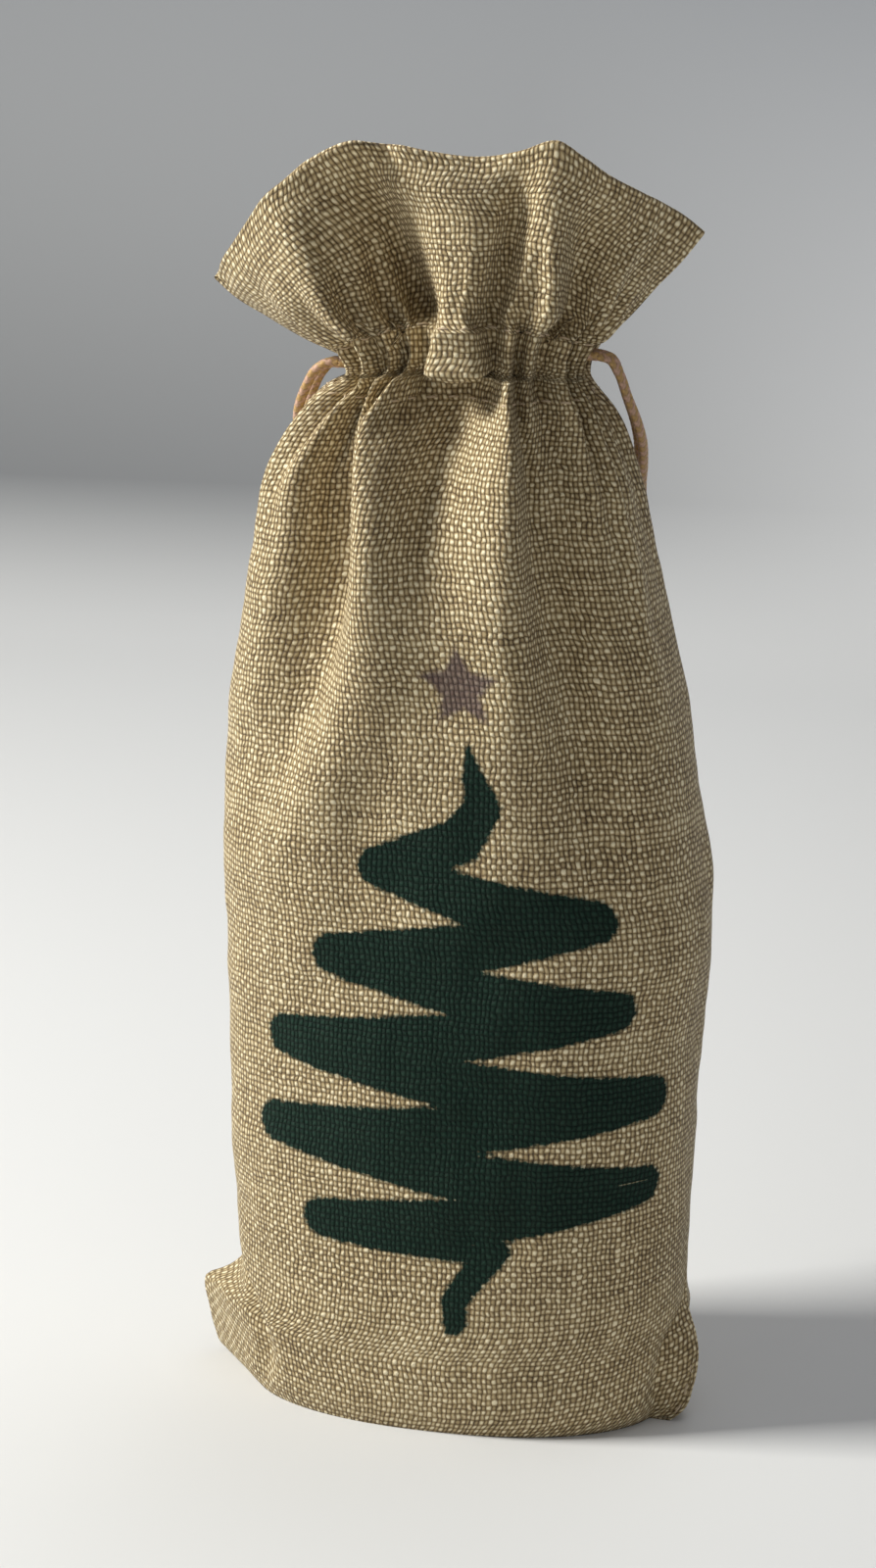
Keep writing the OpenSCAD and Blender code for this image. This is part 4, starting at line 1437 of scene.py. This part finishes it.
seam_stitch_places = []
for hand, column, inward in (("left", 0, 1), ("right", COLUMNS - 1, -1)):
    edge = seam_edge(column)
    edge = edge[edge[:, 2] < 246 * MM]
    near = edge + np.array([inward * 0.8 * MM, 0, 0])
    far = edge + np.array([inward * SEAM_WIDTH, 0, 0])
    strip(f"{hand}_side_seam_piece", near[::2], far[::2], f"{hand}_side_seam")
    stitch_ends = int(arc_length(edge)[-1] / STITCH_PITCH) * 2
    line = even_points(edge + np.array([inward * 1.6 * MM, -1.1 * MM, 0]), stitch_ends)
    for i in range(0, len(line) - 1, 2):
        seam_stitch_places.append((line[i], line[i + 1], (0, -1, 0)))
side_thread = stitches("side_seam_thread_piece", seam_stitch_places, "side_seam_thread")
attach(side_thread, "sack")

floor_left, floor_right = GRIDS[FRONT][0][0, 0], GRIDS[FRONT][0][0, -1]
seam_line = np.linspace(floor_left, floor_right, 60)[3:-3]
seam_line[:, 2] = 1.2 * MM
strip("bottom_seam_piece", seam_line, seam_line + np.array([0, 0, SEAM_WIDTH]), "bottom_seam")
bottom_places = []
for i in range(0, len(seam_line) - 1, 2):
    lift = np.array([0, -1.0 * MM, 2.0 * MM])
    bottom_places.append((seam_line[i] + lift, seam_line[i + 1] + lift, (0, -1, 0)))
bottom_thread = stitches("bottom_seam_thread_piece", bottom_places, "bottom_seam_thread")
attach(bottom_thread, "sack")


def bar_tacks(hand):
    """Three short stitches across the seam below the cord's exit and three above it."""
    column = 0 if hand == "left" else COLUMNS - 1
    sign = -1 if hand == "left" else 1
    grid, _, where = GRIDS[FRONT]
    places = []
    for row in (where["casing"][3], where["casing"][-4]):
        centre = grid[row, column]
        for k in (-1, 0, 1):
            at = centre + np.array([sign * 0.3 * MM, 0, k * 0.7 * MM])
            reach = np.array([0, 1.4 * MM, 0])
            places.append((at - reach, at + reach, (sign, 0, 0)))
    piece = stitches(f"{hand}_bar_tacks_piece", places, f"{hand}_bar_tacks")
    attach(piece, "sack")


for hand in ("left", "right"):
    bar_tacks(hand)


# ---------------------------------------------------------------- floor, backdrop and light

def make_stage():
    """One pale sheet: flat under the bag, then curving up into the backdrop."""
    turn, start, reach = 0.55, 0.75, 3.0
    profile = [(-reach, 0.0), (start, 0.0)]
    for a in np.linspace(0.08, math.pi / 2, 24):
        profile.append((start + turn * math.sin(a), turn * (1 - math.cos(a))))
    profile.append((start + turn, reach))
    mesh = bpy.data.meshes.new("floor")
    points = [(x, y, z) for y, z in profile for x in (-reach, reach)]
    faces = [(2 * k, 2 * k + 1, 2 * k + 3, 2 * k + 2) for k in range(len(profile) - 1)]
    mesh.from_pydata(points, [], faces)
    mesh.polygons.foreach_set("use_smooth", [True] * len(faces))
    floor = placed("floor", mesh)
    mesh.materials.append(pale_sheet("pale_sheet"))


def area_light(name, location, target, size, power, colour):
    data = bpy.data.lights.new(name, "AREA")
    data.shape = "RECTANGLE"
    data.size, data.size_y = size
    data.energy = power
    data.color = colour
    light = placed(name, data)
    light.location = location
    direction = Vector(target) - Vector(location)
    light.rotation_euler = direction.to_track_quat("-Z", "Y").to_euler()


def make_light():
    middle = (0, 0, 0.16)
    area_light("key", (-1.04, -0.32, 1.02), middle, (0.32, 0.32), 27, (0.98, 0.97, 0.93))
    area_light("top", (0.25, 0.60, 1.5), (0.05, 0.30, 0), (1.0, 1.0), 6, (0.97, 0.98, 1.0))
    area_light("fill", (0.9, -1.1, 0.6), middle, (1.2, 1.2), 1.5, (1.0, 0.97, 0.92))
    world = bpy.data.worlds.new("studio")
    world.use_nodes = True
    background = world.node_tree.nodes["Background"]
    background.inputs["Color"].default_value = (0.86, 0.89, 0.95, 1)
    background.inputs["Strength"].default_value = 0.20
    bpy.context.scene.world = world
    bpy.context.scene.view_settings.view_transform = "Standard"


make_stage()
make_light()
